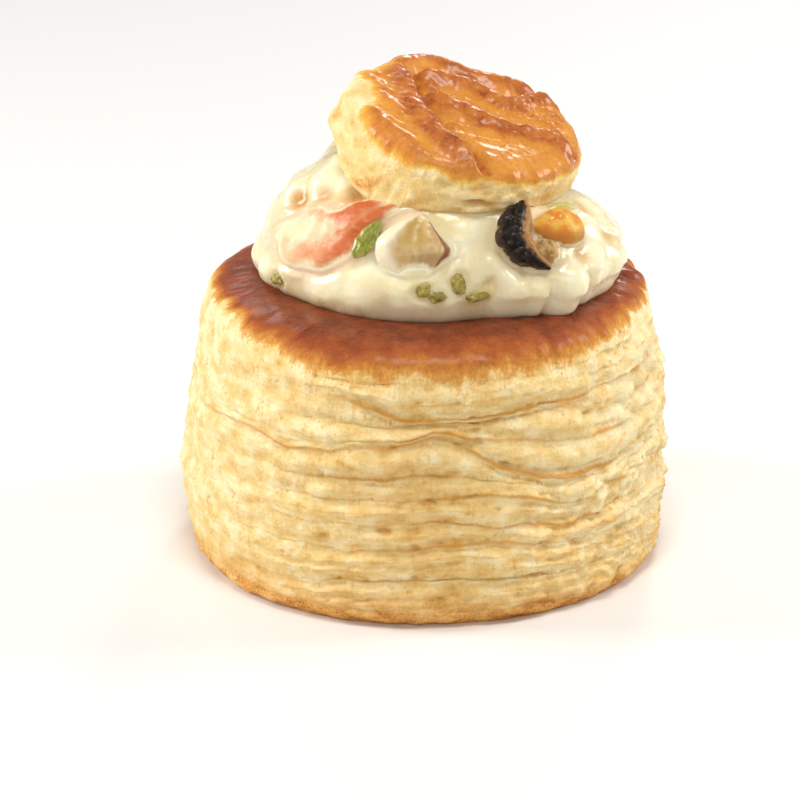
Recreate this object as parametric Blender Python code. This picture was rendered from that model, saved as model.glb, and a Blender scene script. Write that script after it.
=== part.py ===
"""A vol-au-vent: a round puff pastry case, its well filled and heaped with creamy seafood sauce,
pieces of salmon, mussel, mushroom and leek in the heap, and the cut-out pastry lid leaning on top.

Run it with: blender --background --python part.py
The shapes are worked out in millimetres and scaled to metres as each mesh is made.
The case stands on z = 0 with its axis on +Z. The mushroom faces -Y, the salmon is on its left and the
mussel on its right.
"""

import math

import bmesh
import bpy
from mathutils import Euler, Matrix, Vector, noise

MM = 0.001
GAP = 0.35  # clearance between pieces that touch
SHARP_ANGLE = math.radians(60)

# The pastry case: a turned ring with a floor
CASE_RADIUS = 44.6
CASE_HEIGHT = 52.0
BASE_RADIUS = 42.2
SHOULDER_RADIUS = 41.6  # where the side turns into the glazed top
RIM_RISE = 1.4  # the top is domed this far over CASE_HEIGHT
RIM_CREST_RADIUS = 30.0
WELL_RADIUS = 24.0
WELL_FLOOR = 12.0
CASE_COLUMNS = 78
BASE_TURN = ((0.0, 0.0), (1.2, 0.7), (1.7, 2.3))  # round its bottom edge: out from BASE_RADIUS, height
SHOULDER_TURN = ((0.1, -3.8), (1.1, -1.7), (3.2, -0.1))  # in from SHOULDER_RADIUS, over CASE_HEIGHT
RIM_SHOULDER = (35.2, 0.8)  # radius, over CASE_HEIGHT
RIM_RADII = (31.5, 27.5)
LIP_TURN = ((1.1, 0.7), (0.1, -1.2), (0.0, -4.0))  # out from WELL_RADIUS, over CASE_HEIGHT
FLOOR_TURN = 2.0  # how far the well's wall is rounded into its floor
SIDE_WOBBLE = 0.9
RIM_WOBBLE = 0.5

# The flaky layers on its side
LAYER_PITCH = 3.3
LAYERS_FROM = 4.0
LAYERS_TO = 46.0
LAYER_RELIEF = 0.5
LAYER_ROUGHNESS = 0.3
LAYER_WAVE = 2.4  # how far the layers wander up and down

# Broad bulges of the side: angle in degrees, height, push outwards, spread in degrees, spread in height
BULGES = (
    (182, 15.0, 1.3, 32, 6.0),
    (2, 33.0, 0.9, 40, 7.0),
    (268, 24.0, -0.7, 50, 14.0),
    (60, 20.0, 0.8, 35, 9.0),
    (120, 36.0, 0.9, 30, 7.0),
)

# The sauce heap: its foot spreads over the rim in lobes
FOOT_RADIUS = 27.2
SPREADS = (  # angle in degrees, extra reach, spread in degrees
    (358, 9.6, 34),
    (318, 4.4, 15),
    (180, 4.2, 30),
    (128, 3.6, 24),
    (75, 6.0, 30),
)
HEAP_HEIGHT = 24.0  # over the rim's crest, on the axis
HEAP_SLOPE = 0.28  # the heap stands higher to the left
HEAP_LUMP = 0.7
SWELLS = (  # angle in degrees, height over the crest, push outwards, spread in degrees, spread in height
    (268, 4.5, 1.3, 38, 4.5),
    (317, 4.5, 1.9, 10, 5.0),
    (338, 6.0, 1.4, 9, 6.0),
    (5, 11.0, 1.0, 14, 4.0),
    (205, 6.0, 1.0, 16, 5.0),
    (215, 21.0, -1.2, 20, 4.0),
    (298, 13.0, -0.9, 12, 5.0),
)
HEAP_STEP = 1.2  # the foot's edge stands this far over the rim's crest
SWELL_FROM = 4.0  # swells push away from the axis at this height over the crest
SAUCE_COLUMNS = 60
SAUCE_CLIMBS = (0.0, 0.07, 0.14, 0.22, 0.3, 0.38, 0.46, 0.55, 0.65, 0.76, 0.88, 1.0)
RESTING_SHARES = (0.35, 0.7, 1.0)  # rings of the underside, from the well's lip to the foot
COUNT_FROM = 100  # radii from here on only count the sauce's rows until they are placed

# The lid: a smaller puffed round that leans to the right
LID_RADIUS = 22.4
LID_THICKNESS = 11.6
LID_PLACE = (5.5, 0.5, 74.2)  # the middle of its underside
LID_LEAN = (4.0, 12.0)  # degrees about X and Y
LID_COLUMNS = 52
LID_PUFF = 0.13  # how much higher it has puffed at its back left than at its front right
LID_WOBBLE = 0.8
LID_BULGE = (178, 7.5, 1.2, 22, 2.5)  # angle in degrees, height, push outwards, spread in degrees, in height
LID_TOP_SHARES = (0.70, 0.57, 0.44, 0.31, 0.18, 0.0)

# Pieces that lie on the heap. Each follows a route of (angle in degrees, climb from foot 0 to top 1),
# with its half widths along it, half its thickness, and how far its middle stands off the heap.
SALMON = dict(
    route=(
        (188, 0.15), (199, 0.21), (211, 0.225), (223, 0.245), (234, 0.30), (244, 0.40), (252, 0.45),
        (259, 0.475),
    ),
    half_widths=(2.4, 4.4, 4.9, 4.9, 4.1, 2.6, 1.8, 1.4), half_thickness=2.0, lift=0.1,
)
LEEK_STRIP = dict(
    route=((242.3, 0.20), (245.2, 0.26), (248, 0.33), (251, 0.385)),
    half_widths=(1.5, 2.0, 1.7, 0.9), half_thickness=0.6, lift=1.7,
)
MUSHROOM = dict(
    route=((265.5, 0.47), (264.6, 0.40), (263.8, 0.31), (263.8, 0.23), (264.5, 0.15)),
    half_widths=(2.2, 4.0, 6.0, 6.8, 5.4), half_thickness=2.1, lift=0.2,
)
MUSSEL_MANTLE = dict(
    route=((315, 0.65), (308.5, 0.49), (305, 0.35), (305.5, 0.24), (308.5, 0.165), (312.5, 0.11)),
    half_widths=(2.4, 2.9, 2.8, 2.6, 2.1, 1.2), half_thickness=2.4, lift=0.9,
)
MUSSEL_MEAT = (
    dict(
        route=((312, 0.45), (323, 0.42), (334, 0.36)),
        half_widths=(3.2, 3.7, 3.0), half_thickness=2.8, lift=0.4,
    ),
    dict(
        route=((310, 0.34), (313, 0.25), (316.5, 0.17)),
        half_widths=(3.0, 3.2, 2.4), half_thickness=2.3, lift=0.1,
    ),
)
LEEK_SLICE = dict(
    route=((327, 0.58), (337, 0.55), (347, 0.54)), half_widths=(1.5, 1.9, 1.4), half_thickness=1.0, lift=0.2,
)
GREEN_BITS = (  # angle in degrees, climb, half length, half width
    (269.5, 0.088, 1.5, 1.2),
    (274, 0.06, 1.6, 1.1),
    (282, 0.095, 1.3, 2.0),
    (289, 0.04, 2.3, 0.9),
    (205, 0.05, 1.5, 1.0),
)
GREEN_BIT_HEIGHT = 0.9

# Folds in the lid's top, in its own plane: a crest through these points, its height and half width
FOLDS = (
    (((-16.5, 4.5), (-14.4, -4.7), (-11.0, -11.0), (-7.0, -17.0)), 1.3, 2.6),
    (((-10.6, 7.0), (-9.7, -3.5), (-6.8, -10.5), (-2.5, -16.0), (2.5, -20.5)), 2.0, 2.4),
    (((-5.4, 0.5), (-0.9, 1.0), (3.5, -2.6), (9.0, -4.6), (17.0, -6.5)), 1.9, 2.6),
    (((-7.5, 12.5), (-0.1, 10.9), (5.5, 6.3), (10.9, 9.5), (17.0, 8.5)), 1.7, 2.4),
    (((-12.0, 17.0), (-7.0, 19.5), (0.0, 17.5), (9.0, 16.0)), 2.0, 2.8),
)
FOLD_FLOOR = 0.7  # how far the skin between the folds sinks


def smoothstep(low, high, value):
    """0 below low, 1 above high, and a smooth climb between them."""
    share = min(1.0, max(0.0, (value - low) / (high - low)))
    return share * share * (3 - 2 * share)


def bell(distance, width):
    return math.exp(-((distance / width) ** 2))


def turn_between(angle, other_deg):
    """Degrees from other_deg to angle, the short way round."""
    return abs((math.degrees(angle) - other_deg + 180) % 360 - 180)


def ring_noise(angle, height, around, upward, seed):
    """Smooth noise from -1 to 1 that closes round the axis: around and upward are its frequencies."""
    return noise.noise(Vector((math.cos(angle) * around + seed, math.sin(angle) * around, height * upward)))


def turned(profile, columns):
    """A bmesh of the (radius, height) profile spun once round Z, closed where it meets the axis."""
    bm = bmesh.new()
    points = [bm.verts.new((radius, 0, height)) for radius, height in profile]
    edges = [bm.edges.new(pair) for pair in zip(points, points[1:])]
    bmesh.ops.spin(
        bm, geom=points + edges, cent=(0, 0, 0), axis=(0, 0, 1), angle=math.tau, steps=columns,
        use_merge=True,
    )
    bmesh.ops.remove_doubles(bm, verts=bm.verts, dist=0.001)
    bmesh.ops.recalc_face_normals(bm, faces=bm.faces)
    return bm


def reshape(bm, move):
    """Moves each point of the bmesh to move(its place)."""
    for vert in bm.verts:
        vert.co = move(vert.co.copy())


def face_outward(bm):
    """Turns the faces of a closed bmesh out if they face in."""
    if bm.calc_volume(signed=True) < 0:
        bmesh.ops.reverse_faces(bm, faces=bm.faces)


def swell(bm, amount):
    """Pushes every point out along its normal."""
    bm.normal_update()
    for vert, normal in [(vert, vert.normal.copy()) for vert in bm.verts]:
        vert.co += normal * amount


def make_object(name, bm, material=None):
    """A smooth-shaded object of the bmesh, which is in millimetres."""
    mesh = bpy.data.meshes.new(name)
    bm.to_mesh(mesh)
    bm.free()
    mesh.transform(Matrix.Scale(MM, 4))
    mesh.shade_smooth()
    mesh.set_sharp_from_angle(angle=SHARP_ANGLE)
    obj = bpy.data.objects.new(name, mesh)
    bpy.context.scene.collection.objects.link(obj)
    if material:
        mesh.materials.append(material)
    return obj


def hide(obj):
    obj.hide_render = True
    obj.display_type = "WIRE"
    return obj


def make_cutter(obj):
    """A hidden copy of the object, larger by the gap all round, to make room for it in another."""
    bm = bmesh.new()
    bm.from_mesh(obj.data)
    swell(bm, GAP * MM)
    mesh = bpy.data.meshes.new(obj.name + "_room")
    bm.to_mesh(mesh)
    bm.free()
    cutter = bpy.data.objects.new(obj.name + "_room", mesh)
    cutter.matrix_world = obj.matrix_world
    bpy.context.scene.collection.objects.link(cutter)
    return hide(cutter)


def cut(obj, *cutters):
    """Makes room in the object for the hidden cutters. The curled mantle's cutter crosses itself, which
    the EXACT solver turns inside out and MANIFOLD doesn't."""
    for cutter in cutters:
        modifier = obj.modifiers.new("room_for_" + cutter.name, "BOOLEAN")
        modifier.operation = "DIFFERENCE"
        modifier.solver = "MANIFOLD"
        modifier.object = cutter


def make_material(name, colour, roughness):
    material = bpy.data.materials.new(name)
    material.use_nodes = True
    shader = material.node_tree.nodes["Principled BSDF"]
    shader.inputs["Base Color"].default_value = (*colour, 1)
    shader.inputs["Roughness"].default_value = roughness
    shader.inputs["Metallic"].default_value = 0
    return material


# --- the pastry case ---------------------------------------------------------------------------


def case_profile():
    """(radius, height) from the middle of the base, up the layered side, over the rim and down the well."""
    base = [(0, 0), (BASE_RADIUS * 0.6, 0)] + [(BASE_RADIUS + out, height) for out, height in BASE_TURN]
    steps = round((LAYERS_TO - LAYERS_FROM) / (LAYER_PITCH / 2))
    heights = [LAYERS_FROM + (LAYERS_TO - LAYERS_FROM) * step / steps for step in range(steps + 1)]
    side = [(side_radius(height), height) for height in heights]
    shoulder = [(SHOULDER_RADIUS - inward, CASE_HEIGHT + over) for inward, over in SHOULDER_TURN]
    rim = [(RIM_SHOULDER[0], CASE_HEIGHT + RIM_SHOULDER[1])] + [(at, rim_height(at)) for at in RIM_RADII]
    well = [(WELL_RADIUS + out, CASE_HEIGHT + over) for out, over in LIP_TURN]
    floor = [(WELL_RADIUS, WELL_FLOOR + FLOOR_TURN), (WELL_RADIUS - FLOOR_TURN, WELL_FLOOR), (0, WELL_FLOOR)]
    return base + side + shoulder + rim + well + floor


def side_radius(height):
    """The side's plain radius: widest low down, drawn in towards the shoulder and rounded to the base."""
    taper = (CASE_RADIUS - SHOULDER_RADIUS) * smoothstep(20, CASE_HEIGHT, height)
    rounding = 0.7 * (1 - smoothstep(0, 7, height))
    return CASE_RADIUS - taper - rounding


def rim_height(radius):
    """The domed top's plain height."""
    return CASE_HEIGHT + RIM_RISE * (1 - ((radius - RIM_CREST_RADIUS) / 10) ** 2)


def bulge(angle, height):
    broad = SIDE_WOBBLE * ring_noise(angle, height, 1.1, 0.03, 3.0)
    return broad + sum(
        push * bell(turn_between(angle, at), spread) * bell(height - level, tall)
        for at, level, push, spread, tall in BULGES
    )


def layer_relief(angle, height):
    """Alternate rows of the side stand out and fall back, more in some places than in others."""
    strength = 0.9 + 0.6 * ring_noise(angle, height, 2.2, 0.05, 11.0)
    rough = LAYER_ROUGHNESS * ring_noise(angle, height, 7.0, 0.3, 5.0)
    return LAYER_RELIEF * strength * math.cos(math.tau * (height - LAYERS_FROM) / LAYER_PITCH) + rough


def layer_wave(angle, height):
    """How far the layers wander from level here; nothing at the base and the shoulder."""
    room = smoothstep(2, 12, height) * (1 - smoothstep(38, 47, height))
    return LAYER_WAVE * room * (
        ring_noise(angle, height, 1.7, 0.06, 21.0) + 0.6 * ring_noise(angle, height, 3.4, 0.09, 27.0)
    )


def shape_case(place):
    angle = math.atan2(place.y, place.x)
    radius = math.hypot(place.x, place.y)
    height = place.z
    outside = smoothstep(33, 40, radius)
    on_side = outside * smoothstep(2, 5, height) * (1 - smoothstep(45, 50, height))
    radius += outside * bulge(angle, height) + on_side * layer_relief(angle, height)
    if height > CASE_HEIGHT - 5:
        height += outside * RIM_WOBBLE * ring_noise(angle, 0, 2.5, 0.0, 8.0)
    height += on_side * layer_wave(angle, height)
    return Vector((radius * math.cos(angle), radius * math.sin(angle), height))


def make_case(material):
    bm = turned(case_profile(), CASE_COLUMNS)
    reshape(bm, shape_case)
    return make_object("case", bm, material)


# --- the lid ------------------------------------------------------------------------------------


def lid_profile():
    """(radius, height) from the middle of the underside round the puffed edge to the middle of the top."""
    under = [(0, 0.6), (LID_RADIUS * 0.5, 0.3), (LID_RADIUS - 3.4, 0), (LID_RADIUS - 1.0, 0.9)]
    edge = [(LID_RADIUS, 2.6), (LID_RADIUS - 0.5, 4.2), (LID_RADIUS + 0.2, 6.0), (LID_RADIUS - 0.5, 8.0)]
    shoulder = [(LID_RADIUS - 1.8, LID_THICKNESS - 1.8), (LID_RADIUS - 3.8, LID_THICKNESS - 0.6)]
    top = [(LID_RADIUS * share, LID_THICKNESS) for share in LID_TOP_SHARES]
    return under + edge + shoulder + top


def distance_to_path(x, y, path):
    """How far (x, y) is from the nearest point of the path."""
    here, nearest = Vector((x, y)), 1e9
    for start, end in zip(path, path[1:]):
        first, along = Vector(start), Vector(end) - Vector(start)
        share = min(1.0, max(0.0, (here - first).dot(along) / along.length_squared))
        nearest = min(nearest, (here - first - along * share).length)
    return nearest


def fold_height(x, y):
    """The lid's wrinkled skin: the highest of the folds here, over a floor that sinks between them."""
    return max(crest * bell(distance_to_path(x, y, path), width) for path, crest, width in FOLDS) - FOLD_FLOOR


def shape_lid(place):
    angle = math.atan2(place.y, place.x)
    radius = math.hypot(place.x, place.y)
    up = place.z / LID_THICKNESS
    rim = smoothstep(14, 20, radius)
    broad, fine = ring_noise(angle, place.z, 1.6, 0.05, 31.0), ring_noise(angle, place.z, 4.0, 0.6, 37.0)
    bulge_at, level, push, spread, tall = LID_BULGE
    radius += rim * LID_WOBBLE * (broad + 0.44 * fine)
    radius += rim * push * bell(turn_between(angle, bulge_at), spread) * bell(place.z - level, tall)
    x, y = radius * math.cos(angle), radius * math.sin(angle)
    puff = 1 + LID_PUFF * (-0.6 * x + 0.7 * y) / LID_RADIUS
    height = place.z * puff + smoothstep(0.8, 1.0, up) * fold_height(x, y)
    return Vector((x, y, height))


def make_lid(material):
    bm = turned(lid_profile(), LID_COLUMNS)
    reshape(bm, shape_lid)
    lid = make_object("lid", bm, material)
    lid.location = Vector(LID_PLACE) * MM
    lid.rotation_euler = Euler([math.radians(degrees) for degrees in (*LID_LEAN, 0)])
    bpy.context.view_layer.update()
    return lid


# --- the sauce ----------------------------------------------------------------------------------


def foot_radius(angle):
    """How far the heap's foot reaches over the rim."""
    return FOOT_RADIUS + sum(reach * bell(turn_between(angle, at), spread) for at, reach, spread in SPREADS)


def heap_fullness(angle):
    """The exponent of the heap's outline: 2 is an ellipse, and more is squarer."""
    return 2.4 - 0.75 * bell(turn_between(angle, 175), 60) + 2.2 * bell(turn_between(angle, 325), 42)


def heap_point(angle, climb):
    """A point of the heap's skin: climb is 0 at its foot and 1 on top."""
    lift = climb * math.pi / 2
    power = 2 / heap_fullness(angle)
    radius = foot_radius(angle) * max(0.0, math.cos(lift)) ** power
    x, y = radius * math.cos(angle), radius * math.sin(angle)
    crest = CASE_HEIGHT + RIM_RISE
    above = (HEAP_HEIGHT - HEAP_SLOPE * x) * math.sin(lift) ** power
    place = Vector((x, y, crest + HEAP_STEP + above))
    swelling = sum(
        push * bell(turn_between(angle, at), spread) * bell(above - level, tall)
        for at, level, push, spread, tall in SWELLS
    )
    lump = HEAP_LUMP * noise.noise(place * 0.13 + Vector((5, 1, 2))) * smoothstep(0, 0.15, climb)
    return place + (place - Vector((0, 0, crest + SWELL_FROM))).normalized() * (lump * 1.6 + swelling)


def heap_normal(angle, climb):
    step = 0.01
    around = heap_point(angle + step, climb) - heap_point(angle - step, climb)
    upward = heap_point(angle, climb + step) - heap_point(angle, climb - step)
    return around.cross(upward).normalized()


def make_sauce(material):
    """The plug in the well, the underside that lies on the rim, and the heap, as one closed skin."""
    wall = WELL_RADIUS - GAP
    floor = WELL_FLOOR + GAP
    lip_radius, lip_height = WELL_RADIUS + LIP_TURN[0][0] - 0.2, CASE_HEIGHT + LIP_TURN[0][1] + GAP
    plug = [
        (0, floor), (wall - FLOOR_TURN, floor), (wall, floor + FLOOR_TURN), (wall, CASE_HEIGHT - 4),
        (WELL_RADIUS - 0.2, CASE_HEIGHT - 1), (lip_radius, lip_height),
    ]
    rows = [("rest", share) for share in RESTING_SHARES] + [("heap", climb) for climb in SAUCE_CLIMBS]
    # Beyond the plug, the profile's radius only counts the rows, and shape_sauce places them.
    counted = [(COUNT_FROM + row, 0) for row in range(len(rows) - 1)] + [(0, COUNT_FROM)]
    bm = turned(plug + counted, SAUCE_COLUMNS)

    def shape_sauce(place):
        radius = math.hypot(place.x, place.y)
        if max(radius, place.z) < COUNT_FROM - 1:
            return place
        angle = math.atan2(place.y, place.x)
        kind, share = rows[-1] if place.z > COUNT_FROM - 1 else rows[round(radius - COUNT_FROM)]
        if kind == "heap":
            return heap_point(angle, share)
        at = lip_radius + (foot_radius(angle) - 1.0 - lip_radius) * share
        return Vector((at * math.cos(angle), at * math.sin(angle), rim_height(at) + 0.5))

    reshape(bm, shape_sauce)
    return make_object("sauce", bm, material)


# --- the pieces in the sauce ---------------------------------------------------------------------


def between(values, share):
    """The value at this share of the way along an evenly spaced list of numbers."""
    place = min(max(share, 0.0), 1.0) * (len(values) - 1)
    index = min(int(place), len(values) - 2)
    return values[index] + (values[index + 1] - values[index]) * (place - index)


def on_route(route, share):
    """The place, the direction along and the outward normal of the heap's skin at this share of a route."""

    def place_at(at):
        angle = math.radians(between([point[0] for point in route], at))
        climb = between([point[1] for point in route], at)
        return angle, climb, heap_point(angle, climb)

    angle, climb, place = place_at(share)
    along = (place_at(share + 0.05)[2] - place_at(share - 0.05)[2]).normalized()
    normal = heap_normal(angle, climb)
    return place, along, normal


def laid_piece(route, half_widths, half_thickness, lift, rings, sides):
    """A bmesh of a rounded strip that follows the heap's skin: a sphere drawn out along the route."""
    bm = bmesh.new()
    bmesh.ops.create_uvsphere(
        bm, u_segments=sides, v_segments=rings, radius=1, matrix=Matrix.Rotation(math.pi / 2, 4, "Y")
    )

    def shape_piece(place):
        tilt = math.asin(min(1.0, max(-1.0, place.x)))
        share = 0.5 + tilt / math.pi
        fullness = math.cos(tilt) ** 0.6
        turn = math.atan2(place.z, place.y)
        middle, along, normal = on_route(route, share)
        side = normal.cross(along).normalized()
        out = lift + half_thickness * fullness * math.sin(turn)
        return middle + side * between(half_widths, share) * fullness * math.cos(turn) + normal * out

    reshape(bm, shape_piece)
    face_outward(bm)
    return bm


def join(obj, *helpers):
    """Fuses the hidden helpers to the object."""
    for helper in helpers:
        modifier = obj.modifiers.new("with_" + helper.name, "BOOLEAN")
        modifier.operation = "UNION"
        modifier.solver = "EXACT"
        modifier.object = hide(helper)


def make_mussel(material):
    """The frilled mantle that bends round two lobes of meat."""
    mussel = make_object("mussel", laid_piece(**MUSSEL_MANTLE, rings=16, sides=12), material)
    lobes = [
        make_object(f"mussel_lobe_{index}", laid_piece(**lobe, rings=10, sides=12))
        for index, lobe in enumerate(MUSSEL_MEAT)
    ]
    join(mussel, *lobes)
    return mussel, lobes


def make_green_bit(index, at, climb, half_length, half_width):
    route = ((at - 1.0, climb), (at + 1.0, climb))
    centre, along, normal = on_route(route, 0.5)
    bm = bmesh.new()
    bmesh.ops.create_icosphere(bm, subdivisions=1, radius=1)
    up = normal.cross(along)
    frame = Matrix((along * half_length, up * half_width, normal * GREEN_BIT_HEIGHT)).transposed().to_4x4()
    frame.translation = centre
    bm.transform(frame)
    face_outward(bm)
    return make_object(f"green_bit_{index}", bm)


# --- start ---------------------------------------------------------------------------------------


def clear_scene():
    for obj in list(bpy.data.objects):
        bpy.data.objects.remove(obj, do_unlink=True)


def main():
    clear_scene()
    crust = make_material("crust", (0.83, 0.58, 0.27), 0.6)
    glazed = make_material("glazed_crust", (0.62, 0.29, 0.07), 0.3)
    cream = make_material("cream_sauce", (0.82, 0.72, 0.47), 0.25)
    pink = make_material("salmon_flesh", (0.71, 0.33, 0.16), 0.35)
    dark = make_material("mussel_meat", (0.28, 0.13, 0.04), 0.2)
    pale = make_material("mushroom_slice", (0.62, 0.46, 0.24), 0.35)
    green = make_material("leek_green", (0.27, 0.27, 0.05), 0.3)
    make_case(crust)
    lid = make_lid(glazed)
    sauce = make_sauce(cream)
    salmon = make_object("salmon", laid_piece(**SALMON, rings=16, sides=12), pink)
    mushroom = make_object("mushroom", laid_piece(**MUSHROOM, rings=12, sides=12), pale)
    leek_strip = make_object("leek_strip", laid_piece(**LEEK_STRIP, rings=8, sides=10), green)
    leek_slice = make_object("leek_slice", laid_piece(**LEEK_SLICE, rings=8, sides=10), green)
    mussel, lobes = make_mussel(dark)
    join(sauce, *[make_green_bit(index, *bit) for index, bit in enumerate(GREEN_BITS)])
    laid = (lid, salmon, mushroom, leek_strip, leek_slice, mussel, *lobes)
    rooms = {piece.name: make_cutter(piece) for piece in laid}
    mussel_rooms = [rooms[piece.name] for piece in (mussel, *lobes)]
    cut(mushroom, rooms["lid"], rooms["leek_strip"])
    cut(salmon, rooms["lid"], rooms["leek_strip"], rooms["mushroom"])
    cut(mussel, rooms["lid"])
    cut(leek_slice, rooms["lid"], *mussel_rooms)
    cut(sauce, *rooms.values())


main()
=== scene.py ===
"""The looks of a vol-au-vent: a layered, glazed pastry case heaped with cream sauce and seafood,
with its puffed lid leaning on top.

Shapes are worked out in millimetres, in the solids' own places, and scaled to metres as each mesh is made.
The case stands on z = 0 with its axis on +Z. The camera looks from -Y at the mushroom slice, with the salmon
on its left and the mussel on its right. Angles turn anticlockwise from +X, and the tables have them in
degrees.
"""

import math

import bmesh
import bpy
from mathutils import Euler, Matrix, Vector, noise
from mathutils.bvhtree import BVHTree


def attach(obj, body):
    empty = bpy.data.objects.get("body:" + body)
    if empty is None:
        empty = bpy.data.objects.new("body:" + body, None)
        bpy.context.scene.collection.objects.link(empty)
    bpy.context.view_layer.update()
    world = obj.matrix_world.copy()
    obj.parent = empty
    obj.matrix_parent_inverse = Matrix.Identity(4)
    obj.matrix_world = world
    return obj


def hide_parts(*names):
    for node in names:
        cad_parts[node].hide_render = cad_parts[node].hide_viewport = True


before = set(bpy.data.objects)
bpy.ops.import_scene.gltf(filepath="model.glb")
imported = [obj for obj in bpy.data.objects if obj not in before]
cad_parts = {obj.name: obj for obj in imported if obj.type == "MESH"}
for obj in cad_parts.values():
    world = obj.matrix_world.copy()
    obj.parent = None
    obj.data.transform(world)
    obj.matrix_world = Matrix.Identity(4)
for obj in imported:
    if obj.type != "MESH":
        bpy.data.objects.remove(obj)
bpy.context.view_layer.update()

MM = 0.001

# --- sizes of the solids, which every piece here keeps ------------------------------------------------

CASE_RADIUS = 44.6
CASE_HEIGHT = 52.0
SHOULDER_RADIUS = 41.6
RIM_RISE = 1.4
RIM_CREST_RADIUS = 30.0
WELL_RADIUS = 24.0
WELL_FLOOR = 12.0
GAP = 0.35
BULGES = (  # angle, height, push outwards, spread in degrees, spread in height
    (182, 15.0, 1.3, 32, 6.0),
    (2, 33.0, 0.9, 40, 7.0),
    (268, 24.0, -0.7, 50, 14.0),
    (60, 20.0, 0.8, 35, 9.0),
    (120, 36.0, 0.9, 30, 7.0),
)
FOOT_RADIUS = 27.2
SPREADS = (  # angle, extra reach of the heap's foot, spread in degrees
    (358, 9.6, 34),
    (318, 4.4, 15),
    (180, 4.2, 30),
    (128, 3.6, 24),
    (75, 6.0, 30),
)
HEAP_FLOOR = CASE_HEIGHT + RIM_RISE + 1.2  # the height of its outline at the foot
HEAP_HEART = Vector((0, 0, CASE_HEIGHT + RIM_RISE + 4))  # the point that its skin is pushed away from
HEAP_HEIGHT = 24.0
HEAP_SLOPE = 0.28
HEAP_LUMP = 0.7
SWELLS = (  # angle, height over the heap's floor, push outwards, spread in degrees, spread in height
    (268, 4.5, 1.3, 38, 4.5),
    (317, 4.5, 1.9, 10, 5.0),
    (338, 6.0, 1.4, 9, 6.0),
    (5, 11.0, 1.0, 14, 4.0),
    (205, 6.0, 1.0, 16, 5.0),
    (215, 21.0, -1.2, 20, 4.0),
    (298, 13.0, -0.9, 12, 5.0),
)
LID_RADIUS = 22.4
LID_THICKNESS = 11.6
LID_PLACE = (5.5, 0.5, 74.2)
LID_LEAN = (4.0, 12.0)

# --- the case's layers --------------------------------------------------------------------------------

CASE_COLUMNS = 500
# The lines between the pastry's layers, lowest first, round the side: angle in degrees, height, and how
# sharply the edge stands out there.
LAYER_LINES = (
    ((0, 7.0, 0.3), (60, 8.5, 0.5), (120, 7.0, 0.3), (180, 8.0, 0.2), (210, 7.5, 0.2), (237, 7.7, 0.5),
     (258, 9.1, 0.7), (280, 9.5, 0.4), (305, 8.0, 0.4), (330, 7.2, 0.5)),
    ((0, 13.0, 0.4), (60, 14.0, 0.3), (120, 12.5, 0.5), (180, 14.0, 0.1), (215, 15.0, 0.2), (245, 14.6, 0.4),
     (266, 15.7, 0.9), (284, 16.5, 0.9), (301, 14.2, 0.6), (325, 13.0, 0.4)),
    ((0, 18.5, 0.5), (60, 18.0, 0.4), (120, 19.0, 0.3), (180, 20.5, 0.1), (215, 20.0, 0.1), (245, 19.5, 0.3),
     (270, 20.8, 0.6), (290, 19.0, 0.7), (307, 17.3, 0.8), (327, 18.1, 0.6)),
    ((0, 24.0, 0.3), (60, 23.0, 0.6), (120, 25.0, 0.4), (180, 24.5, 0.1), (215, 24.0, 0.1), (245, 24.0, 0.3),
     (265, 25.0, 0.5), (285, 25.6, 0.8), (297, 24.0, 0.7), (306, 21.5, 0.5), (318, 22.5, 0.6),
     (335, 23.0, 0.4)),
    ((0, 28.0, 0.2), (60, 27.5, 0.3), (120, 30.0, 0.5), (180, 28.0, 0.1), (215, 28.5, 0.2), (240, 28.0, 0.4),
     (258, 28.8, 1.0), (272, 29.9, 0.8), (285, 28.6, 0.3), (297, 26.2, 0.2), (310, 24.8, 0.2),
     (330, 25.2, 0.2)),
    ((0, 30.0, 0.5), (45, 33.0, 0.6), (90, 31.0, 0.5), (135, 34.0, 0.4), (180, 32.0, 0.2), (206, 33.0, 0.5),
     (220, 34.3, 0.8), (234, 32.5, 0.9), (250, 34.2, 0.8), (262, 35.0, 0.7), (273, 37.0, 1.0),
     (280, 34.3, 1.0), (288, 31.0, 1.1), (297, 28.2, 1.2), (308, 26.6, 1.2), (322, 26.4, 0.8),
     (340, 28.5, 0.5)),
    ((0, 34.5, 0.3), (45, 37.0, 0.4), (90, 35.0, 0.7), (135, 37.5, 0.5), (180, 35.5, 0.1), (206, 35.2, 0.1),
     (225, 35.6, 0.1), (240, 34.8, 0.2), (255, 35.7, 0.4), (266, 36.9, 0.9), (273, 37.9, 0.8),
     (283, 36.4, 0.7), (293, 35.4, 0.9), (308, 33.4, 0.9), (323, 32.4, 0.7), (340, 33.2, 0.4)),
    ((0, 37.5, 0.2), (60, 39.5, 0.2), (120, 40.0, 0.3), (180, 38.5, 0.1), (225, 39.0, 0.1), (255, 38.6, 0.2),
     (273, 39.3, 0.1), (290, 39.4, 0.3), (302, 39.4, 0.7), (312, 38.3, 0.8), (325, 36.5, 0.4)),
    ((0, 41.5, 0.4), (45, 42.3, 0.5), (90, 40.5, 0.3), (135, 42.5, 0.5), (180, 41.0, 0.1), (206, 40.8, 0.1),
     (225, 41.8, 0.1), (240, 43.6, 0.3), (249, 43.9, 0.8), (256, 42.4, 1.0), (263, 40.7, 1.0),
     (275, 40.3, 0.9), (287, 40.8, 0.9), (297, 41.4, 1.0), (309, 40.9, 0.9), (325, 41.0, 0.5)),
)
THINNEST_LAYER = 0.9
RIM_LINE = 47.0  # where the side turns into the shoulder
LEAVES_BETWEEN = (4, 3, 2, 2, 1, 1, 1, 1, 1, 2)
LEAF_SHARES = (0.0, 0.07, 0.16, 0.28, 0.42, 0.58, 0.73, 0.86, 0.95)
# The toasting value holds real toasting, and on the case also painted light and shade.
PASTRY_VALUES = ("edge", "pit", "brown", "toast")  # what the case's and the lid's meshes tell their finish
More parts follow.
